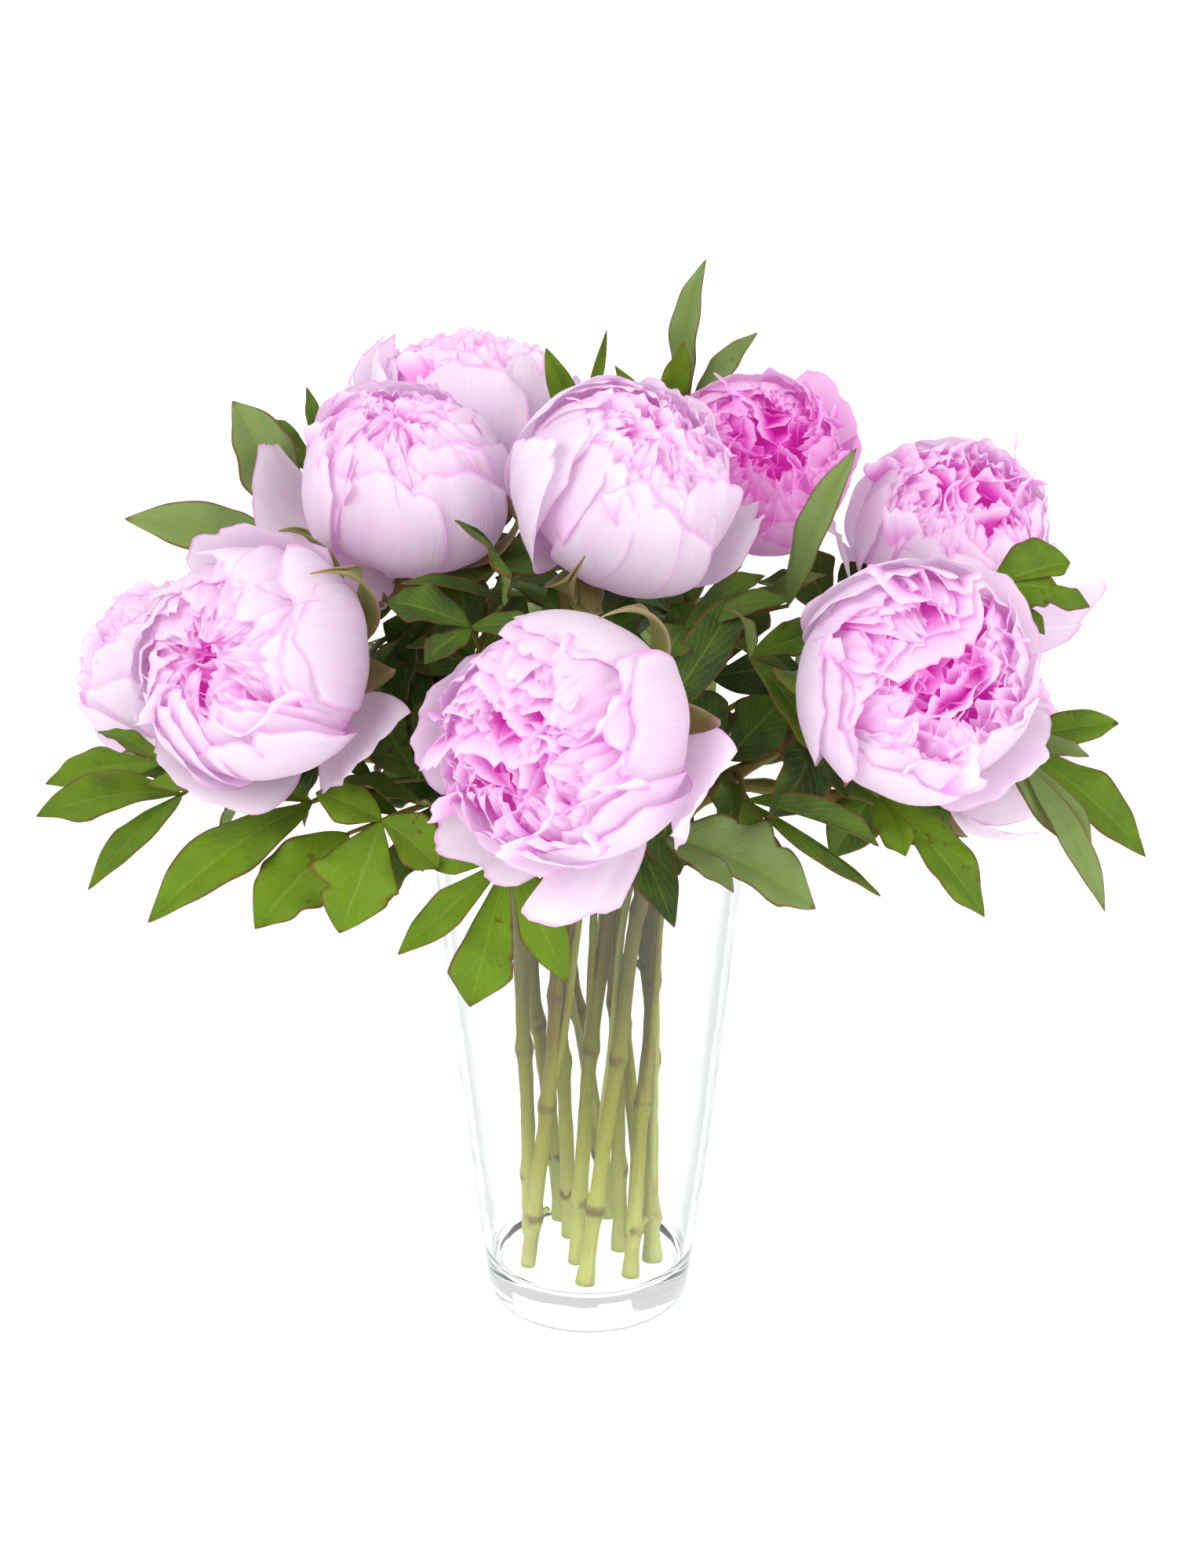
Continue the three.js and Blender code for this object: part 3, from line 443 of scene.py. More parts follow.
# The petals that stand in the mouth, in rings, as shares of the bloom's radius. The outer ring stands
# at `widest` of the mouth's edge and has `count` petals where that is `full`. Then the chances of
# each petal: how evenly it is spaced and how far out it stands, its width and height, how far it is
# turned about itself and curled over. `hollow` is where their colour starts to deepen, and where it
# is deepest, from the bloom's middle: partly the heart's deeper pink, partly painted shade in the folds
# there. depth: of the colour in the outer ring and more in each next.
CORE = {
    "rings": 4, "widest": 0.7, "count": 9, "full": 0.6, "spaced": (-0.3, 0.3), "out": (0.85, 1.08),
    "wide": (0.36, 0.7), "dome": 0.88, "tall": (0.74, 1.04), "floor": 0.1, "turned": (-0.8, 0.8),
    "curl": (-0.25, 1.0), "grid": (20, 23), "ragged": 0.13, "hollow": (0.86, 0.5), "depth": (0.5, 0.04),
}
# The dark ball in the bloom that the petals hide, a painted shade that fills the gaps between the petals
# with deep magenta: its reach at its back and in the mouth, how unlike a ball it is, and where it sinks, in
# degrees from the mouth's edge.
BALL = {"back": 0.6, "mouth": 0.16, "uneven": 0.02, "sinks": (-25, 12), "rows": 19, "sides": 24}


def frame_of(flower):
    """The bloom's middle, its right and up as the viewer sees them, and the axis to its mouth."""
    heading, rise = math.radians(flower["heading"]), math.radians(flower["rise"])
    level = np.array([math.sin(heading), -math.cos(heading), 0])
    axis = level * math.cos(rise) + [0, 0, math.sin(rise)]
    right = unit(np.cross([0, 0, 1], axis))
    return seen(*flower["at"]), right, np.cross(axis, right), axis


def on_ball(flower, angle, turn, reach):
    """The points at `angle` from the bloom's foot, `turn` round its axis and `reach` from its middle."""
    middle, right, up, axis = frame_of(flower)
    angle, turn, reach = np.broadcast_arrays(angle, turn, reach)
    across = (reach * np.sin(angle))[..., None]
    along = (reach * flower.get("long", 1) * np.cos(angle))[..., None]
    return middle + across * (np.cos(turn)[..., None] * right + np.sin(turn)[..., None] * up) - along * axis


def marks(s, t, side):
    s, t = np.broadcast_arrays(s, t)
    return np.stack([s, t, np.full_like(s, side)], -1)


def tip_line(t, rng, ragged, torn=0.0):
    """How far a petal's edge falls short of its full length: rounded, waved, notched and torn."""
    short = 0.2 * t**2 + waves(t, rng, (1.1, 2.3), 0.03) + waves(t, rng, (4.7, 7.3, 11.1), 0.35 * ragged)
    for depth, width in ((2.2 * ragged, 0.09), (1.2 * ragged, 0.2), (torn, 0.16)):
        cleft = rng.uniform(-0.65, 0.65)
        short = short + rng.uniform(0.2, 1) * depth * hump(t, cleft, width)
    return short + 0.8 * torn * np.abs(t) ** 1.5


def shell_petal(skin, flower, rng, turn, foot, tip, half, shell, ruffle, depth, lift=0.0, torn=0.0):
    """A cupped petal on the ball, with one edge over its neighbour and a ruffled tip."""
    s, t = grid(*PETAL["grid"])
    foot, tip = math.radians(foot), math.radians(tip)
    end = foot + (tip - foot) * (1 - tip_line(t, rng, ruffle, torn))
    angle = foot + (end - foot) * s
    width = math.radians(half) * mix(PETAL["foot"], 1, np.sin(math.pi * (0.1 + 0.62 * s)))
    width = width * (1 - 1.6 * torn * s**2)
    side = waves(s, rng, (0.8, 1.9), PETAL["sway"])
    standing = mix(PETAL["root"], shell, 1 - (1 - s) ** 5) + lift * s**2 + PETAL["tilt"] * t
    standing = standing + ruffle * s**4 * waves(t, rng, (1.7, 2.9, 5.3), 1)
    standing = standing + 0.7 * ruffle * np.abs(t) ** 5 * waves(s, rng, (2.1, 4.3), 1)
    standing = standing + waves(t, rng, (2.3, 3.9), PETAL["ripple"]) * s * (1 - s**3)
    standing = standing - PETAL["crease"] * hump(t, 0, 0.16) * np.sin(math.pi * s)
    standing = standing + rng.uniform(*PETAL["curl"]) * s**7
    standing = standing + rng.uniform(*PETAL["flare"]) * np.abs(t) ** 6 * s
    places = on_ball(flower, angle, math.radians(turn) + t * width + side * s, flower["radius"] * standing)
    skin.sheet(places, marks(s, t, 1), np.array([depth, flower["blush"], rng.uniform()]))


def core_petal(skin, flower, rng, reach, turn, turned_by, curl, depth):
    """A petal that stands in the mouth, waved across, folded over at its end and ragged there."""
    middle, right, up, axis = frame_of(flower)
    radius = flower["radius"]
    out = math.cos(turn) * right + math.sin(turn) * up
    flat = -math.sin(turn + turned_by) * right + math.cos(turn + turned_by) * up
    inward = np.cross(axis, flat)
    dome = CORE["dome"] * flower.get("long", 1) * math.sqrt(max(0.05, 1 - reach**2))
    length = (dome * rng.uniform(*CORE["tall"]) - CORE["floor"]) / (1 - 0.3 * curl**2)
    wide = rng.uniform(*CORE["wide"])
    s, t = grid(*CORE["grid"])
    grown = s * (1 - 1.2 * tip_line(t, rng, CORE["ragged"]))
    half = wide * mix(0.5, 1, np.sin(math.pi * (0.02 + 0.58 * s)))
    over = curl * grown**2
    rise = CORE["floor"] + length * (grown - 0.35 * curl * over * grown)
    wave = rng.uniform(0.07, 0.18) * s * waves(t, rng, (0.8, 1.6), 1)
    wave = wave + 0.022 * s**3 * waves(t, rng, (3.1, 4.7, 7.9), 1)
    cup = rng.uniform(-0.05, 0.3) * t**2 * s
    places = middle + radius * (
        rise[..., None] * axis
        + reach * out
        + (half * t)[..., None] * flat
        + (wave + cup + 0.5 * length * over)[..., None] * inward
    )
    # painted shade: the colour deepens towards the bloom's middle, where the folds lie in shade, on top of
    # the heart's deeper pink
    sunk = ramp(np.linalg.norm(places - middle, axis=-1) / radius, *CORE["hollow"])
    tone = marks(mix(depth, 1, sunk), flower["blush"], 0)
    tone[..., 2] = rng.uniform()
    skin.sheet(places, marks(s, t, 1), tone)


def painted_shade_ball(skin, flower):
    """The ball that the petals stand round, sunk behind the mouth: painted shade, deep magenta, which shows
    through the gaps between the petals.
    """
    mouth = 180 - flower["open"]
    angle = np.linspace(0, math.pi, BALL["rows"])[:, None]
    turn = np.linspace(0, TAU, BALL["sides"] + 1)[None, :-1]
    past = ramp(np.degrees(angle), *(mouth + sinks for sinks in BALL["sinks"]))
    reach = mix(BALL["back"], BALL["mouth"], past) + BALL["uneven"] * np.sin(5 * turn + 3 * angle)
    places = on_ball(flower, angle, turn, flower["radius"] * reach)
    start = skin.add(places, np.array([0.3, 0, 1]), np.array([1, flower["blush"], 0.5]))
    skin.quads(start + np.arange(BALL["rows"] * BALL["sides"]).reshape(BALL["rows"], -1), 0, around=True)


def shell(skin, flower, rng):
    """The guard petals that stand away, then the layers from the other guards inwards."""
    mouth = 180 - flower["open"]
    loose = flower["loose"]
    for turn, tip, half, lift in loose:
        shell_petal(
            skin, flower, rng, turn, LOOSE["foot"], tip, half, LOOSE["shell"], LOOSE["ruffle"], 0.0,
            lift, LOOSE["torn"] * lift,
        )
    for level, layer in enumerate(LAYERS):
        first = rng.uniform(0, 360) if level else loose[0][0]
        for k in range(layer["count"]):
            turn = first + 360 * k / layer["count"]
            taken = max(math.cos(math.radians(turn - at[0])) for at in loose)
            if level == 0 and taken > math.cos(math.radians(BESIDE_LOOSE)):
                continue
            loosened = 1 if level else 0
            turn = turn + rng.uniform(*CHANCE["turn"]) * loosened
            tip = mouth + layer["past"] + rng.uniform(*CHANCE["tip"]) * loosened
            half = layer["half"] * rng.uniform(*CHANCE["half"])
            standing = layer["shell"] - rng.uniform(*CHANCE["sunk"])
            shell_petal(
                skin, flower, rng, turn, layer["foot"], tip, half, standing, layer["ruffle"], layer["depth"]
            )


def core(skin, flower, rng):
    """The rings of petals that stand in the mouth, from its edge to its middle."""
    widest = CORE["widest"] * math.sin(math.radians(flower["open"]))
    depth, deeper = CORE["depth"]
    for ring in range(CORE["rings"]):
        share = 1 - ring / CORE["rings"]
        count = max(3, round(CORE["count"] * share * widest / CORE["full"]))
        for k in range(count):
            turn = TAU * (k + rng.uniform(*CORE["spaced"])) / count + ring
            reach = widest * share * rng.uniform(*CORE["out"])
            turned_by = rng.uniform(*CORE["turned"])
            curl = rng.uniform(*CORE["curl"]) * mix(0.5, 1, share)
            core_petal(skin, flower, rng, reach, turn, turned_by, curl, depth + deeper * ring)


def bloom(flower, number):
    rng = np.random.default_rng(SEEDS["bloom"] + number)
    skin = Skin()
    painted_shade_ball(skin, flower)
    shell(skin, flower, rng)
    core(skin, flower, rng)
    return skin


# ---- Stems ----------------------------------------------------------------------------------
STEM_ROWS = 120
# the joints, as shares of the stem's length: the first, the last and the step from one to the next;
# then how much thicker the stem is there, over how many mm, and how far up they have stubs
JOINTS = {
    "first": (0.05, 0.12), "last": 0.85, "step": (0.17, 0.22), "swell": 0.34, "long": 5, "stubs": 0.5,
}
# a stub: how far it reaches out, how much it leans up and then bends up, and its radii
STUB = {"reach": (5, 11), "lean": 0.9, "bend": 0.9, "radii": [1.7, 1.9, 1.7, 1.6, 1.6, 1.5]}
# a side shoot: how many of the stubs are one, how many of the stem's rows it follows and up to which
# of them, how far from the stem it ends, and its radius at its two ends
TWIG = {
    "share": 0.7, "rows": 58, "last_row": 84, "apart": 12, "vary": (0.7, 1.2), "radius": (2.1, 1.5),
}
# a leaf's stalk, which has the colour of the stem's upper part all along
STALK = {"radius": (1.5, 1.0), "rows": 16, "part": (0.8, 0.5, 0.3)}
STEM_SIDES, STALK_SIDES = 14, 8


def ring_place(distance, degrees, z):
    turn = math.radians(degrees)
    return np.array([distance * math.cos(turn), distance * math.sin(turn), z])


def stem_path(flower):
    """The stem's middle line, evenly spaced from its cut end to its cup."""
    middle, _, _, axis = frame_of(flower)
    turn, share = flower["neck"]
    end = middle - axis * (HEART * flower["radius"] * flower.get("long", 1) + GAP)
    given = [
        ring_place(RING["foot"] * share, turn - RING["twist"], VASE["floor"] + 2),
        ring_place(RING["waist"] * share, turn - RING["twist"] / 2, RING["waist_height"]),
        ring_place(RING["neck"] * share, turn, VASE["height"] + 4),
        end - axis * STEM["straight"],
        end,
    ]
    given = np.array([2 * given[0] - given[1], *given, 2 * given[-1] - given[-2]])
    places = []
    for k in range(1, len(given) - 2):
        a, b, c, d = given[k - 1 : k + 3]
        gaps = [np.sum((q - p) ** 2) ** 0.25 for p, q in ((a, b), (b, c), (c, d))]
        into = ((b - a) / gaps[0] - (c - a) / (gaps[0] + gaps[1]) + (c - b) / gaps[1]) * gaps[1]
        outof = ((c - b) / gaps[1] - (d - b) / (gaps[1] + gaps[2]) + (d - c) / gaps[2]) * gaps[1]
        s = np.linspace(0, 1, 60)[:, None]
        places.append(
            b + into * s + (3 * (c - b) - 2 * into - outof) * s**2 + (2 * (b - c) + into + outof) * s**3
        )
    places = np.concatenate(places)
    far = np.concatenate([[0], np.cumsum(np.linalg.norm(np.diff(places, axis=0), axis=1))])
    even = np.linspace(0, far[-1], STEM_ROWS)
    return np.stack([np.interp(even, far, places[:, k]) for k in range(3)], -1)


STEM_SLOT, LEAF_SLOT, SEPAL_SLOT = range(3)


def stem_tube(skin, path, rng):
    """The stem: thicker at its joints, and swollen under the bloom into its cup."""
    share = np.linspace(0, 1, len(path))
    length = np.linalg.norm(np.diff(path, axis=0), axis=1).sum()
    radii = mix(STEM["radius"], STEM["top"], share)
    joints = np.arange(rng.uniform(*JOINTS["first"]), JOINTS["last"], rng.uniform(*JOINTS["step"]))
    near_joint = np.zeros_like(share)
    for joint in joints:
        near_joint = np.maximum(near_joint, hump(share, joint, JOINTS["long"] / length))
    radii = radii * (1 + JOINTS["swell"] * near_joint) * (1 + waves(share * 6, rng, (1.3, 2.9), 0.04))
    radii = radii * (1 + rng.uniform(0, 0.4) * ramp(share, 0.035, 0))
    cup = ramp(share, 1 - STEM["cup_height"] / length, 1)
    radii = mix(radii, STEM["cup"], cup)
    around = np.linspace(0, 1, STEM_SIDES)[None, :]
    part = np.stack(np.broadcast_arrays(share[:, None], around, near_joint[:, None]), -1)
    skin.tube(path, radii, STEM_SIDES, part, np.array([0, 0, rng.uniform()]), STEM_SLOT)
    for joint in joints[joints <= JOINTS["stubs"]]:
        side_shoot(skin, path, joint, rng)


def side_shoot(skin, path, joint, rng):
    """What a cut side shoot leaves at a joint: a short stub, or a thin twig along the stem."""
    at = int(joint * (len(path) - 1))
    ahead = unit(path[at + 1] - path[at])
    side = unit(np.cross(ahead, unit(rng.normal(size=3))))
    reach = unit(side + STUB["lean"] * ahead) * rng.uniform(*STUB["reach"])
    share = np.linspace(0, 1, len(STUB["radii"]))[:, None]
    line, radii = path[at] + reach * share + ahead * STUB["bend"] * share**2, STUB["radii"]
    if rng.uniform() < TWIG["share"]:
        rows = path[at : min(at + TWIG["rows"], TWIG["last_row"])]
        apart = TWIG["apart"] * rng.uniform(*TWIG["vary"])
        line = rows + side * apart * (1 - (1 - np.linspace(0, 1, len(rows))[:, None]) ** 2)
        radii = np.linspace(*TWIG["radius"], len(rows))
    mark = np.array([joint, 0.5, 0.5])
    skin.tube(line, radii, STALK_SIDES, mark, np.array([0, 0, rng.uniform()]), STEM_SLOT)


# ---- Leaves ---------------------------------------------------------------------------------
def leaf_width(s):
    """A leaflet's outline, 0 at both of its ends and about 1 where it is widest."""
    return 2.9 * s**0.75 * (1 - s) ** 0.8


def leaflet(skin, joint, run, side, out, wide, roll, bow, room, rng, age_and_shade):
    """One leaflet from its joint to its tip: folded along its midrib, arched, waved and pointed.

    The wide ones have a lobe on each side, and their cross lines sweep forward as the veins do.
    """
    length = np.linalg.norm(run)
    s, t = grid(*LEAF["grid"])
    limit = np.where(t < 0, room[0], room[1])
    shape = leaf_width(np.clip(s, 0.001, 0.999))
    lobe = LEAF["lobe"] * ramp(wide, *LEAF["lobed"]) * rng.uniform(0.4, 1, 2)[(t > 0).astype(int)]
    cut = rng.uniform(0.5, 0.62)
    shape = shape * (1 + lobe * (hump(s, cut - 0.1, 0.07) - hump(s, cut + 0.03, 0.05)))
    half = np.minimum(wide / 2 * shape, s * length * limit + 0.4)
    half = np.maximum(half * (1 - 0.25 * s**3), 0.35 * (1 - s))
    sweep = LEAF["sweep"] * np.abs(t) * s * (1 - s) * 4
    far = s + sweep * (1 - ramp(s, 0.7, 1))
    twist = math.radians(roll) + rng.uniform(-LEAF["twist"], LEAF["twist"]) * s
    rise = 4 * bow * length * s * (1 - s) + (LEAF["fold"] * np.abs(t) - t * np.sin(twist)) * half
    wave = waves(s * 2, rng, (1.6, 3.1), LEAF["wave"]) * t**2 * ramp(s, 0, 0.3)
    droop = LEAF["droop"] * rng.uniform(0, 1.6) * length * s**4
    rise = rise + wave * half - droop - rng.uniform(-0.1, 0.3) * half * t**4
    sway = rng.uniform(-LEAF["sway"], LEAF["sway"]) * length * s**2
    veins = np.abs(np.sin(math.pi * (LEAF["veins"] * s - LEAF["vein_bow"] * np.abs(t))))
    quilt = -LEAF["quilt"] * veins**0.6 * np.clip(half / 6, 0, 1)
    places = joint + far[..., None] * run + (t * half * np.cos(twist) + sway)[..., None] * side
    places = places + (rise + quilt * (1 - np.abs(t)))[..., None] * out
    part = marks(s, t, 1)
    skin.plate(places, LEAF["thick"], part, np.array([age_and_shade, wide / 40, rng.uniform()]), LEAF_SLOT)


def spray(skin, path, given, rng):
    """A stalk with its leaflets, which share one face and leave each other room at the joint."""
    _, height, arch, joint_at, age_and_shade, leaflets = given
    joint = seen(*joint_at)
    backwards = leaflets[0][0][2] - joint_at[2] > FACING_BACK
    face = unit(np.array([0, LEAF["lean"] if backwards else -LEAF["lean"], 1.0]))
    runs = [seen(*leaf[0]) - joint for leaf in leaflets]
    out = unit(sum(unit(flat_on(face, unit(run))) for run in runs))
    ahead = unit(sum(unit(flat_on(run, out)) for run in runs))
    across = np.cross(ahead, out)
    turns = [math.atan2(np.dot(run, across), np.dot(run, ahead)) for run in runs]
    for leaf, run, turn in zip(leaflets, runs, turns):
        _, wide, roll, bow = leaf + (0, LEAF["bow"])[len(leaf) - 2 :]
        side = unit(np.cross(flat_on(run, out), out))
        before = [turn - other for other in turns if other < turn]
        after = [other - turn for other in turns if other > turn]
        room = [
            math.tan(min(0.48 * min(gaps), 1.4)) if gaps else OPEN_ROOM[0] for gaps in (before, after)
        ]
        leaflet(skin, joint, run, side, out, wide, roll, bow, room, rng, age_and_shade)
    start = path[np.argmax(path[:, 2] >= height)]
    middle = mix(start, joint, 0.5) + np.array([0, 0, arch])
    s = np.linspace(0, 1, STALK["rows"])[:, None]
    line = (1 - s) ** 2 * start + 2 * s * (1 - s) * middle + s**2 * joint
    radii = np.linspace(*STALK["radius"], STALK["rows"])
    tone = np.array([0, 0, rng.uniform()])
    skin.tube(line, radii, STALK_SIDES, STALK["part"], tone, STEM_SLOT)
    if np.linalg.norm(joint - start) > PAIR["least_stalk"]:
        leaf_pair(skin, line, rng, max(age_and_shade, PAIR["youngest"]))


def leaf_pair(skin, line, rng, age_and_shade):
    """Two small leaflets, one on each side of a stalk."""
    at = int(PAIR["at"] * (len(line) - 1))
    ahead = unit((line[at + 1] - line[at]) * [1, 1, 0.4])
    beside = unit(np.cross(ahead, [0, 0, 1]))
    for way in (-1, 1):
        angle = math.radians(rng.uniform(*PAIR["spread"]))
        run = ahead * math.cos(angle) + beside * way * math.sin(angle)
        run = unit(run + [0, 0, rng.uniform(*PAIR["rise"])]) * rng.uniform(*PAIR["length"])
        side = unit(np.cross(run, [0, 0, 1.0]))
        out = np.cross(side, unit(run))
        wide = rng.uniform(*PAIR["wide"])
        leaflet(skin, line[at], run, side, out, wide, 0, LEAF["bow"], OPEN_ROOM, rng, age_and_shade)


def stem_leaves(skin, path, rng):
    """Dark single leaves on the stem's upper part, which fill the bunch between the blooms; their dark
    green is partly painted shade.
    """
    rows = np.flatnonzero(path[:, 2] > VASE["height"] + STEM_LEAF["above_rim"])
    rows = rows[: -STEM_LEAF["bare_rows"]]
    for k in range(STEM_LEAF["count"] if len(rows) else 0):
        at = rows[int((k + rng.uniform(0.1, 0.9)) * len(rows) / STEM_LEAF["count"])]
        face = unit(path[at] * [1, 1, 0] / STEM_LEAF["lean_at"] + [0, -0.35, 1.0])
        first = unit(np.cross(face, [0, 0, 1.0]) + [1e-6, 0, 0])
        turn = rng.uniform(0, TAU)
        run = math.cos(turn) * first + math.sin(turn) * np.cross(face, first)
        run = (run + face * rng.uniform(*STEM_LEAF["rise"])) * rng.uniform(*STEM_LEAF["length"])
        side = unit(np.cross(run, face))
        out = np.cross(side, unit(run))
        wide = rng.uniform(*STEM_LEAF["wide"])
        # painted shade: these leaves fill the shaded inside of the bunch, so they take the dark end of
        # age_and_shade
        age_and_shade = rng.uniform(*STEM_LEAF["age_and_shade"])
        leaflet(skin, path[at], run, side, out, wide, 0, LEAF["bow"], OPEN_ROOM, rng, age_and_shade)


# The sepals lie under the bloom and the bracts beside it. They start at `foot` degrees and `root` of
# the bloom's radius, and reach their own share of it, early along them where `bend` is large.
SEPAL = {"foot": 6, "root": 0.7, "turns": (15, 235, 125), "tip": 50, "half": 26, "reach": 1.16, "bend": 1.0}
BRACT = {"reach": 1.15, "bend": 2.6}
SEPAL_GRID = (16, 11)


def sepal(skin, flower, turn, tip, half, reach, bend, rng):
    """A green sepal or small leaf that starts in the cup and lies against the bloom from below."""
    s, t = grid(*SEPAL_GRID)
    angle = mix(math.radians(SEPAL["foot"]), math.radians(tip), s * (1 - 0.2 * t**2 * s))
    width = math.radians(half) * np.sin(math.pi * (0.25 + 0.72 * s)) * mix(1, 0.55, s**3)
    standing = mix(SEPAL["root"], reach, 1 - (1 - s) ** bend)
    standing = standing + 0.02 * waves(s, rng, (1.3, 2.2), 1) * t + 0.03 * t**2
    places = on_ball(flower, angle, math.radians(turn) + t * width, flower["radius"] * standing)
    tone = np.array([rng.uniform(), 0.5, rng.uniform()])
    skin.plate(places, LEAF["thick"], marks(s, t, 1), tone, SEPAL_SLOT)


def leafy_stem(name, flower, number):
    rng = np.random.default_rng(SEEDS["stem"] + number)
    skin = Skin()
    path = stem_path(flower)
    stem_tube(skin, path, rng)
    for given in SPRAYS:
        if given[0] == name:
            spray(skin, path, given, rng)
    stem_leaves(skin, path, rng)
    for turn in SEPAL["turns"]:
        sepal(skin, flower, turn, SEPAL["tip"], SEPAL["half"], SEPAL["reach"], SEPAL["bend"], rng)
    for turn, tip, half in flower.get("bracts", []):
        sepal(skin, flower, turn, tip, half, BRACT["reach"], BRACT["bend"], rng)
    return skin


# ---- The vase -------------------------------------------------------------------------------
# the shallow hollow under the foot: the height of its middle, then (how far in from the round edge of
# the foot, height); the round corner inside, and the dished floor: (radius, how far below the floor)
HOLLOW = {"middle": 1.2, "steps": [(12, 1.0), (4, 0.2)]}
INSIDE = {"corner": 9, "dish": [(22, 0.6), (0, 0.9)]}
# how the glass is out of round: (waves round it, share of its radius, twist for each mm of height)
UNEVEN = [(3, 0.0016, 0.02), (7, 0.001, -0.05)]
VASE_SIDES = 120
VASE_ROWS = 34
FOOT_ROWS, LIP_ROWS, CORNER_ROWS = 9, 11, 10


def arc(x, z, radius, start, end, rows):
    """A round stretch of the profile about (x, z), from start to end in degrees."""
    turn = np.radians(np.linspace(start, end, rows))
    return list(zip(x + radius * np.cos(turn), z + radius * np.sin(turn)))


def outside(z):
    """The vase's radius at the height z."""
    share = z / VASE["height"]
    return mix(VASE["foot"], VASE["rim"], share) + VASE["belly"] * np.sin(math.pi * share)


def vase_profile():
    """From the middle of the underside round the foot, wall and rim to the middle of the floor."""
    height, wall, floor, edge = (VASE[size] for size in ("height", "wall", "floor", "edge"))
    corner = INSIDE["corner"]
    heights = np.linspace(edge, height - wall / 2, VASE_ROWS)
    profile = [(0, HOLLOW["middle"])]
    profile += [(VASE["foot"] - edge - inwards, z) for inwards, z in HOLLOW["steps"]]
    profile += arc(outside(edge) - edge, edge, edge, -90, 0, FOOT_ROWS)
    profile += [(outside(z), z) for z in heights[1:]]
    profile += arc(outside(height) - wall / 2, height - wall / 2, wall / 2, 0, 180, LIP_ROWS)[1:-1]
    profile += [(outside(z) - wall, z) for z in heights[::-1] if z > floor + corner]
    middle = outside(floor + corner) - wall - corner
    profile += arc(middle, floor + corner, corner, 0, -90, CORNER_ROWS)
    profile += [(radius, floor - depth) for radius, depth in INSIDE["dish"]]
    return np.array(profile)


def vase_glass():
    """The profile turned round the axis, with a fan of faces in the middle of its two ends."""
    profile = vase_profile()
    turn = np.linspace(0, TAU, VASE_SIDES + 1)[None, :-1]
    radii, z = profile[:, :1], profile[:, 1:]
    radii = radii * (1 + sum(share * np.sin(count * turn + twist * z) for count, share, twist in UNEVEN))
    places = np.stack([radii * np.cos(turn), radii * np.sin(turn), np.broadcast_to(z, radii.shape)], -1)
    skin = Skin()
    part, tone = np.array([0, 0, 1]), np.array([0, 0, 0])
    start = skin.add(places[1:-1], part, tone)
    ids = start + np.arange((len(profile) - 2) * VASE_SIDES).reshape(-1, VASE_SIDES)
    skin.quads(ids, 0, around=True)
    for row, tip, order in ((ids[0], profile[0], 1), (ids[-1], profile[-1], -1)):
        middle = skin.add(np.array([[0, 0, tip[1]]]), part, tone)
        ring = row[::order]
        skin.faces.append(np.stack([np.full(VASE_SIDES, middle), np.roll(ring, -1), ring], -1))
        skin.slots.append(np.zeros(VASE_SIDES))
    return skin


# ---- Shared effects -------------------------------------------------------------------------
def effect(name, inputs, outputs):
    """A new node group with named sockets for plain numbers, and its two ends."""
    group = bpy.data.node_groups.new(name, "ShaderNodeTree")
    for socket, value in inputs.items():
        made = group.interface.new_socket(socket, in_out="INPUT", socket_type="NodeSocketFloat")
        made.default_value = value
    for socket in outputs:
        group.interface.new_socket(socket, in_out="OUTPUT", socket_type="NodeSocketFloat")
    ends = group.nodes.new("NodeGroupInput").outputs, group.nodes.new("NodeGroupOutput").inputs
    return group, Wiring(group), *ends


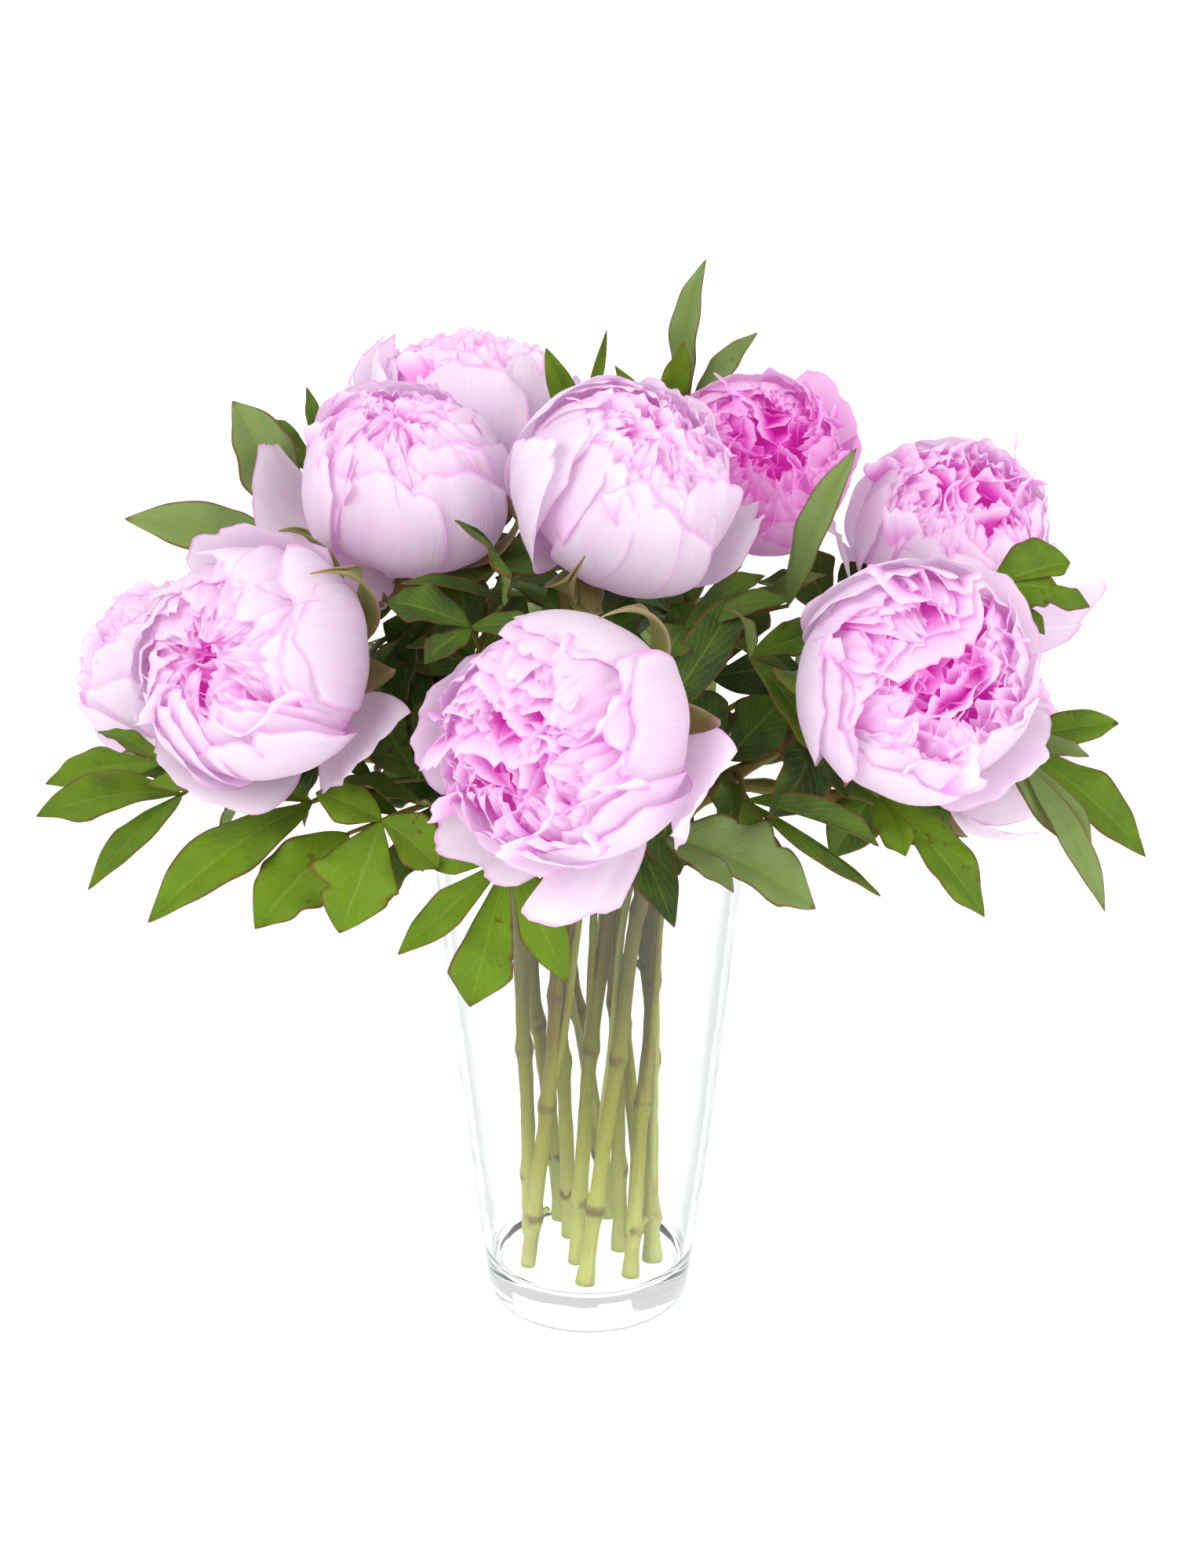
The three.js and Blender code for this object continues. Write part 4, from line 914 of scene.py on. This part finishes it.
class Wiring:
    """Short ways to place and join nodes in one tree."""

    def __init__(self, tree):
        self.tree = tree

    def node(self, kind, settings=None, **inputs):
        """A new node. Its inputs are given by their names, or by their numbers as _0, _1 and so on."""
        node = self.tree.nodes.new(kind)
        for key, value in (settings or {}).items():
            setattr(node, key, value)
        for key, value in inputs.items():
            self.put(node.inputs[int(key[1:]) if key[0] == "_" else key.replace("_", " ")], value)
        return node

    def put(self, socket, value):
        """A link where value is another socket, and otherwise a value of the socket's own."""
        if isinstance(value, bpy.types.NodeSocket):
            self.tree.links.new(value, socket)
        elif isinstance(value, tuple) and len(value) == 3 and socket.type == "RGBA":
            socket.default_value = (*value, 1)
        else:
            socket.default_value = value

    def math(self, way, a, b=0.0, c=0.0, clamp=False):
        settings = {"operation": way, "use_clamp": clamp}
        return self.node("ShaderNodeMath", settings, _0=a, _1=b, _2=c).outputs[0]

    def times(self, a, b):
        return self.math("MULTIPLY", a, b)

    def plus(self, a, b):
        return self.math("ADD", a, b)

    def times_plus(self, a, share, more):
        return self.math("MULTIPLY_ADD", a, share, more)

    def apart(self, value, middle, share):
        """How far value lies from middle, as a share."""
        return self.times(self.math("SUBTRACT", value, middle), share)

    def total(self, first, *others):
        """The sum of them all, held between 0 and 1."""
        for other in others[:-1]:
            first = self.plus(first, other)
        return self.math("ADD", first, others[-1], clamp=True)

    def ramp(self, value, low, high, to_low=0.0, to_high=1.0):
        """to_low below low, to_high above high and smooth between them."""
        limits = {"_1": low, "_2": high, "_3": to_low, "_4": to_high}
        settings = {"interpolation_type": "SMOOTHSTEP"}
        return self.node("ShaderNodeMapRange", settings, _0=value, **limits).outputs[0]

    def blend(self, share, a, b):
        """The colour a, with a share of the colour b laid over it."""
        return self.node("ShaderNodeMix", {"data_type": "RGBA"}, _0=share, _6=a, _7=b).outputs[2]

    def split(self, vector):
        return self.node("ShaderNodeSeparateXYZ", _0=vector).outputs

    def join(self, x, y, z):
        return self.node("ShaderNodeCombineXYZ", _0=x, _1=y, _2=z).outputs[0]

    def noise(self, place, scale, detail=2.0, rough=0.5):
        return self.node(
            "ShaderNodeTexNoise", Vector=place, Scale=scale, Detail=detail, Roughness=rough
        ).outputs["Fac"]

    def mark(self, name):
        return self.node("ShaderNodeAttribute", {"attribute_name": name}).outputs["Vector"]


# how far apart, in the noise, two petals or leaves lie, so that no two have the same lines
APART = {"lines": 40.0, "veins": 30.0}
ABOVE_NOTHING = 8.0  # whole steps that hold the count of the side veins above 0


def fine_lines():
    """Thin lines that run from a petal's or stem's root to its tip and waver a little."""
    inputs = {"Along": 0.0, "Across": 0.0, "Own": 0.0, "Count": 30.0}
    group, w, (along, across, own, count, *_), out = effect("Lengthwise veins", inputs, ["Lines"])
    place = w.join(w.times(across, count), w.times(along, 2.2), w.times(own, APART["lines"]))
    fine = w.noise(place, 1.0, 2.0, 0.6)
    coarse = w.noise(place, 0.23, 1.0, 0.5)
    both = w.plus(w.times(fine, 0.65), w.times(coarse, 0.35))
    w.put(out[0], w.ramp(both, 0.38, 0.66))
    return group


def leaf_veins():
    """A leaf's midrib and side veins, with the fine net between them."""
    inputs = {"Along": 0.0, "Across": 0.0, "Own": 0.0}
    group, w, (along, across, own, *_), out = effect("Leaf veins", inputs, ["Veins", "Net"])
    side = w.math("ABSOLUTE", across)
    place = w.join(w.times(along, LEAF["veins"]), w.times(across, 4.0), w.times(own, APART["veins"]))
    waver = w.apart(w.noise(place, 1.0), 0.5, 0.5)
    bowed = w.times(w.math("POWER", side, 0.8), LEAF["vein_bow"])
    line = w.math("SUBTRACT", w.times(along, LEAF["veins"]), bowed)
    line = w.math("FRACT", w.plus(w.plus(line, waver), ABOVE_NOTHING))
    near = w.math("ABSOLUTE", w.math("SUBTRACT", line, 0.5))
    ribs = w.ramp(near, 0.035, 0.085, 1.0, 0.0)
    ribs = w.times(ribs, w.ramp(side, 0.55, 0.95, 1.0, 0.15))
    middle = w.ramp(side, 0.03, 0.085, 1.0, 0.0)
    w.put(out[0], w.math("MAXIMUM", ribs, middle))
    fine = w.join(w.times(along, 26.0), w.times(across, 11.0), own)
    net = w.node("ShaderNodeTexVoronoi", {"feature": "DISTANCE_TO_EDGE"}, Vector=fine, Scale=1.0)
    w.put(out[1], w.ramp(net.outputs[0], 0.02, 0.16, 1.0, 0.0))
    return group


def mottle():
    """Soft cloudy variation over the real surface, 0 to 1."""
    group, w, (size, *_), out = effect("Mottle", {"Size": 60.0}, ["Clouds"])
    place = w.node("ShaderNodeTexCoord").outputs["Object"]
    w.put(out[0], w.ramp(w.noise(place, size, 3.0, 0.6), 0.32, 0.68))
    return group


def material(name):
    """A new material, the wiring of its nodes, and the socket that its shader goes to."""
    made = bpy.data.materials.new(name)
    made.use_nodes = True
    made.node_tree.nodes.clear()
    wiring = Wiring(made.node_tree)
    return made, wiring, wiring.node("ShaderNodeOutputMaterial").inputs["Surface"]


def placed(wiring, group, **inputs):
    """What a shared effect puts out in one material."""
    node = wiring.tree.nodes.new("ShaderNodeGroup")
    node.node_tree = group
    for key, value in inputs.items():
        wiring.put(node.inputs[key], value)
    return node.outputs


# How each skin of the plant looks: how many lines run along it, the size of its clouds, where its
# margins start and end at the sides and at the tip, the strength and depth in metres of its relief,
# its gloss, and the share of the light that it lets through.
LOOKS = {
    "petal": {
        "lines": 34.0, "clouds": 55.0, "margin": ((0.93, 1.0), (0.965, 1.0)), "relief": 0.35,
        "deep": 0.0004, "gloss": 0.15, "through": 0.4,
    },
    "leaf": {
        "clouds": 38.0, "margin": ((0.88, 0.97), (0.95, 1.0)), "relief": 0.5,
        "deep": 0.0005, "gloss": 0.12, "through": 0.2,
    },
    "stem": {"lines": 16.0, "clouds": 70.0, "relief": 0.4, "deep": 0.0006, "gloss": 0.15},
    "sepal": {
        "lines": 14.0, "clouds": 60.0, "margin": ((0.7, 1.0), (0.85, 1.0)), "relief": 0.4,
        "deep": 0.0005, "gloss": 0.5,
    },
}


def plant_material(name, look, clouds):
    """The beginning of a skin's material, with the marks of its points and its clouds."""
    made, w, end = material(name)
    cloud = placed(w, clouds, Size=look["clouds"])[0]
    return made, w, end, w.split(w.mark("part")), w.split(w.mark("tone")), cloud


def margin(w, look, along, across):
    """1 at the margins, which look["margin"] gives for the sides and for the tip."""
    sides, tip = look["margin"]
    return w.math("MAXIMUM", w.ramp(w.math("ABSOLUTE", across), *sides), w.ramp(along, *tip))


def surface(w, look, colour, height, rough, **more):
    """The shader of a skin, with the relief that height gives it."""
    bump = w.node("ShaderNodeBump", Strength=look["relief"], Distance=look["deep"], Height=height)
    return w.node(
        "ShaderNodeBsdfPrincipled", Base_Color=colour, Normal=bump.outputs[0], Roughness=rough,
        Specular_IOR_Level=look["gloss"], **more,
    ).outputs[0]


def thin(w, look, shown, colour):
    """A thin skin lets some of the light through, in this colour."""
    through = w.node("ShaderNodeBsdfTranslucent", Color=colour).outputs[0]
    return w.node("ShaderNodeMixShader", _0=look["through"], _1=shown, _2=through).outputs[0]


# Petal colours, from the pale outer guards to the folds round the heart.
PALE = (0.875, 0.825, 0.885)
PINK = (0.90, 0.48, 0.85)
RIM = (0.86, 0.36, 0.76)
MAGENTA = (0.75, 0.06, 0.59)
BLEACHED = (0.95, 0.91, 0.95)
# painted glow: the petals give off this light themselves, in place of the light that soaks through and
# bounces into the shaded side of a guard petal and into a fold
GLOW_IN_SHADE = (0.22, 0.17, 0.215)
GLOW_IN_FOLDS = (0.64, 0.26, 0.57)
GLOW = 0.27  # how strong that light is


def petal_material(lines, clouds):
    look = LOOKS["petal"]
    made, w, end, (along, across, _), tone, cloud = plant_material("Peony petal", look, clouds)
    depth, blush, own = tone
    veins = placed(w, lines, Along=along, Across=across, Own=own, Count=look["lines"])[0]
    inner = w.node("ShaderNodeNewGeometry").outputs["Backfacing"]
    root = w.math("POWER", w.math("SUBTRACT", 1.0, along, clamp=True), 1.6)
    flush = w.total(
        w.times(root, w.times_plus(depth, 0.9, 0.22)),
        w.times(blush, w.times_plus(depth, 0.6, 0.16)),
        w.apart(own, 0.5, 0.16),
        w.apart(cloud, 0.5, 0.1),
        w.times(inner, 0.14),
        w.apart(veins, 0.3, 0.16),
    )
    colour = w.blend(flush, PALE, PINK)
    # painted shade in part: the inner layers, the hollow of the bloom and the ball turn magenta, partly the
    # flower's own colour and partly the shade in its folds
    deep = w.times(w.ramp(along, 0.3, 0.95, 0.7, 0.0), w.ramp(depth, 0.2, 0.6))
    deep = w.math("MAXIMUM", deep, w.ramp(depth, 0.6, 0.98, 0.0, 0.95))
    deep = w.total(deep, w.times(w.ramp(blush, 0.5, 1.0), 0.3))
    colour = w.blend(deep, colour, MAGENTA)
    tip = w.times(w.ramp(along, 0.72, 1.0), w.math("SUBTRACT", 0.75, w.times(blush, 0.6)))
    colour = w.blend(w.times(tip, 0.6), colour, BLEACHED)
    rim = margin(w, look, along, across)
    colour = w.blend(w.times(rim, w.times_plus(cloud, 0.5, 0.3)), colour, RIM)
    # painted glow: the petals emit this light, pinker in the folds and magenta deep in the bloom, to lift
    # their shade
    painted_glow = w.blend(deep, w.blend(w.ramp(depth, 0.05, 0.5), GLOW_IN_SHADE, GLOW_IN_FOLDS), MAGENTA)
    shown = surface(
        w, look, colour, w.plus(veins, w.times(cloud, 0.3)), w.times_plus(veins, 0.12, 0.5),
        Emission_Color=painted_glow, Emission_Strength=GLOW, Sheen_Weight=0.1,
    )
    w.put(end, thin(w, look, shown, w.blend(0.12, colour, PINK)))
    return made


# Leaf colours: the upper side of a young leaf and of an old leaf partly darkened with painted shade, its
# paler underside and its margin.
LEAF_YOUNG = (0.15, 0.275, 0.010)
LEAF_OLD_AND_SHADED = (0.028, 0.058, 0.025)
LEAF_UNDER = (0.26, 0.36, 0.13)
LEAF_VEIN = (0.27, 0.39, 0.06)
LEAF_MARGIN = (0.22, 0.06, 0.035)
LEAF_SPOT = (0.12, 0.06, 0.02)
SPOTS = 170.0  # the size of the clouds whose middles are spots


def leaf_material(veins, clouds):
    look = LOOKS["leaf"]
    made, w, end, (along, across, side), tone, cloud = plant_material("Peony leaf", look, clouds)
    age_and_shade, _, own = tone
    veins, net = placed(w, veins, Along=along, Across=across, Own=own)[:2]
    upper = w.times(w.ramp(side, -0.3, 0.3), w.ramp(age_and_shade, -0.2, 0.0))
    # painted shade: a high age_and_shade darkens the upper side towards a shaded, old leaf's green
    old_and_shaded = w.total(w.times(age_and_shade, 0.75), w.apart(cloud, 0.5, 0.4))
    top = w.blend(old_and_shaded, LEAF_YOUNG, LEAF_OLD_AND_SHADED)
    colour = w.blend(upper, w.blend(w.times(cloud, 0.3), LEAF_UNDER, LEAF_YOUNG), top)
    colour = w.blend(w.times(net, 0.1), colour, LEAF_VEIN)
    colour = w.blend(w.times(veins, 0.34), colour, LEAF_VEIN)
    colour = w.blend(w.times(margin(w, look, along, across), 0.75), colour, LEAF_MARGIN)
    spots = placed(w, clouds, Size=SPOTS)[0]
    spots = w.times(w.ramp(spots, 0.93, 1.0), w.ramp(own, 0.4, 0.9))
    colour = w.blend(w.times(spots, 0.7), colour, LEAF_SPOT)
    height = w.times(w.plus(w.times(veins, -0.7), w.times(net, -0.25)), side)
    rough = w.plus(w.times(upper, -0.18), w.times_plus(cloud, 0.08, 0.58))
    shown = surface(w, look, colour, height, rough)
    w.put(end, thin(w, look, shown, w.blend(0.5, colour, LEAF_YOUNG)))
    return made


# Stem colours from the cut end upwards, the red of its streaks and the brown of its scars.
STEM_FOOT = (0.44, 0.48, 0.14)
STEM_GREEN = (0.27, 0.28, 0.03)
STEM_UPPER = (0.14, 0.135, 0.022)
STEM_RED = (0.19, 0.06, 0.03)
STEM_SCAR = (0.13, 0.07, 0.03)


def stem_material(lines, clouds):
    look = LOOKS["stem"]
    made, w, end, (along, around, joint), tone, cloud = plant_material("Peony stem", look, clouds)
    stretched = w.times(along, 5.0)
    streaks = placed(w, lines, Along=stretched, Across=around, Own=tone[2], Count=look["lines"])[0]
    colour = w.blend(w.ramp(along, 0.0, 0.24), STEM_FOOT, STEM_GREEN)
    colour = w.blend(w.ramp(along, 0.15, 0.55), colour, STEM_UPPER)
    red = w.times(w.times(streaks, cloud), w.ramp(along, 0.1, 0.5, 0.3, 0.85))
    colour = w.blend(red, colour, STEM_RED)
    scar = w.times(w.ramp(joint, 0.55, 1.0), w.ramp(cloud, 0.3, 0.8))
    colour = w.blend(w.times(scar, 0.85), colour, STEM_SCAR)
    w.put(end, surface(w, look, colour, w.plus(streaks, cloud), w.times_plus(cloud, 0.15, 0.42)))
    return made


# Sepal colours: green, browner with age, and pink at the margins.
SEPAL_GREEN = (0.21, 0.24, 0.05)
SEPAL_BROWN = (0.17, 0.065, 0.035)
SEPAL_PINK = (0.62, 0.25, 0.29)


def sepal_material(lines, clouds):
    look = LOOKS["sepal"]
    made, w, end, (along, across, _), tone, cloud = plant_material("Peony sepal", look, clouds)
    age_and_shade, _, own = tone
    veins = placed(w, lines, Along=along, Across=across, Own=own, Count=look["lines"])[0]
    brown = w.times(age_and_shade, w.times_plus(cloud, 0.6, 0.35))
    colour = w.blend(brown, SEPAL_GREEN, SEPAL_BROWN)
    rim = margin(w, look, along, across)
    colour = w.blend(w.times(rim, w.times(own, 0.8)), colour, SEPAL_PINK)
    colour = w.blend(w.times(veins, 0.25), colour, LEAF_VEIN)
    w.put(end, surface(w, look, colour, veins, w.times_plus(cloud, 0.1, 0.5)))
    return made


# The glass seen square on and edge on: its colour and how much of it is see-through. The grey edge-on
# colour is a painted reflection, in place of the darker room that real glass shows at its edges. In the
# foot, between two heights in metres, it is less grey edge on. Then its reflections and its shadow.
GLASS_FACES = (((0.985, 0.995, 0.99), 1.0), ((0.36, 0.41, 0.42), 0.5))
GLASS_FOOT = {"height": (0.015, 0.045), "grey": 0.45}
GLASS_SHINE = (0.55, 0.57, 0.57)
GLASS_SHADOW = (0.96, 0.975, 0.97)
GLASS_INDEX = 1.46


def glass_material(clouds):
    """Clear glass, greyer where it is seen edge on (a painted reflection), and less so in its foot. It
    casts hardly a shadow.
    """
    made, w, end = material("Clear glass")
    ripple = placed(w, clouds, Size=14.0)[0]
    bump = w.node("ShaderNodeBump", Strength=0.06, Distance=0.002, Height=ripple).outputs[0]
    square_on, edge_on_painted_grey = (
        w.node(
            "ShaderNodeBsdfPrincipled", Base_Color=colour, Normal=bump, Roughness=0.0,
            Transmission_Weight=see_through, IOR=GLASS_INDEX, Specular_Tint=GLASS_SHINE,
        ).outputs[0]
        for colour, see_through in GLASS_FACES
    )
    # painted reflection: the more edge on the glass is seen, the more of the grey, half see-through glass
    # shows
    edge = w.ramp(w.node("ShaderNodeLayerWeight", Blend=0.5).outputs["Facing"], 0.42, 0.97)
    height = w.split(w.node("ShaderNodeTexCoord").outputs["Object"])[2]
    edge = w.times(edge, w.ramp(height, *GLASS_FOOT["height"], GLASS_FOOT["grey"], 1.0))
    glass = w.node("ShaderNodeMixShader", _0=edge, _1=square_on, _2=edge_on_painted_grey).outputs[0]
    clear = w.node("ShaderNodeBsdfTransparent", Color=GLASS_SHADOW).outputs[0]
    ray = w.node("ShaderNodeLightPath").outputs["Is Shadow Ray"]
    w.put(end, w.node("ShaderNodeMixShader", _0=ray, _1=glass, _2=clear).outputs[0])
    return made


def floor_material(clouds):
    made, w, end = material("White studio floor")
    cloud = placed(w, clouds, Size=1.5)[0]
    shown = w.node(
        "ShaderNodeBsdfPrincipled", Base_Color=w.blend(cloud, *FLOOR_WHITES), Roughness=0.7,
        Emission_Color=(1, 1, 1), Emission_Strength=0.35,
    )
    w.put(end, shown.outputs[0])
    return made


# ---- Camera, floor and light ----------------------------------------------------------------
WORLD_LIGHT = 0.72
LIGHT_AIM = Vector((0, 0, 0.3))
# name, place in metres, size in metres, power in watts
LIGHTS = [
    ("Key from the upper left", (-1.2, -1.5, 1.9), (1.6, 1.2), 36),
    ("Fill from the right", (1.6, -1.2, 1.1), (1.4, 1.2), 16),
    ("Light from behind", (0.3, 1.7, 1.6), (2.0, 1.0), 16),
]
# the white floor in metres: from and to, side to side and front to back, and its points each way
FLOOR = {"x": (-5, 5), "y": (-3, 7), "points": 41}
FLOOR_WHITES = ((0.9, 0.9, 0.9), (0.92, 0.92, 0.92))
SENSOR = 24  # the height of the camera's picture plane


def camera():
    data = bpy.data.cameras.new("View")
    data.sensor_fit = "VERTICAL"
    data.sensor_height = SENSOR
    data.lens = SENSOR * VIEW["focal"] / PICTURE[1]
    data.clip_end = 20
    made = in_scene("View", data)
    made.location = EYE * MM
    made.rotation_euler = (math.pi / 2 - PITCH, 0, 0)
    bpy.context.scene.camera = made


def studio(clouds):
    """The floor under the vase, the white room round it and three soft lights."""
    mesh = bpy.data.meshes.new("Studio floor")
    x, y = (np.linspace(*FLOOR[way], FLOOR["points"]) for way in "xy")
    places = np.array([(a, b, 0.0) for b in y for a in x])
    quads = cells(np.arange(len(places)).reshape(len(y), len(x)))
    mesh.from_pydata(places, [], quads.tolist())
    mesh.materials.append(floor_material(clouds))
    floor = in_scene("Studio_floor", mesh)

    world = bpy.data.worlds.new("Soft white room")
    world.use_nodes = True
    sky = world.node_tree.nodes["Background"]
    sky.inputs["Color"].default_value = (1, 1, 1, 1)
    sky.inputs["Strength"].default_value = WORLD_LIGHT
    bpy.context.scene.world = world
    for name, place, size, power in LIGHTS:
        data = bpy.data.lights.new(name, "AREA")
        data.shape = "RECTANGLE"
        data.size, data.size_y = size
        data.energy = power
        light = in_scene(name, data)
        light.location = place
        light.rotation_euler = (LIGHT_AIM - Vector(place)).to_track_quat("-Z", "Y").to_euler()


# ---- Assembly -------------------------------------------------------------------------------
def main():
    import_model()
    camera()
    lines, veins, clouds = fine_lines(), leaf_veins(), mottle()
    petals = petal_material(lines, clouds)
    greens = [
        stem_material(lines, clouds), leaf_material(veins, clouds), sepal_material(lines, clouds),
    ]
    studio(clouds)

    glass = vase_glass().piece("Vase_glass", [glass_material(clouds)])
    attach(glass, "root")
    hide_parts("vase")
    for number, (name, flower) in enumerate(FLOWERS.items()):
        flower_piece = bloom(flower, number).piece("Bloom_" + name, [petals])
        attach(flower_piece, "root")
        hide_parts("bloom_" + name)
        stem_piece = leafy_stem(name, flower, number).piece("Stem_" + name, greens)
        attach(stem_piece, "root")
        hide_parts("stem_" + name)


bpy.context.scene.view_settings.view_transform = "Standard"
main()
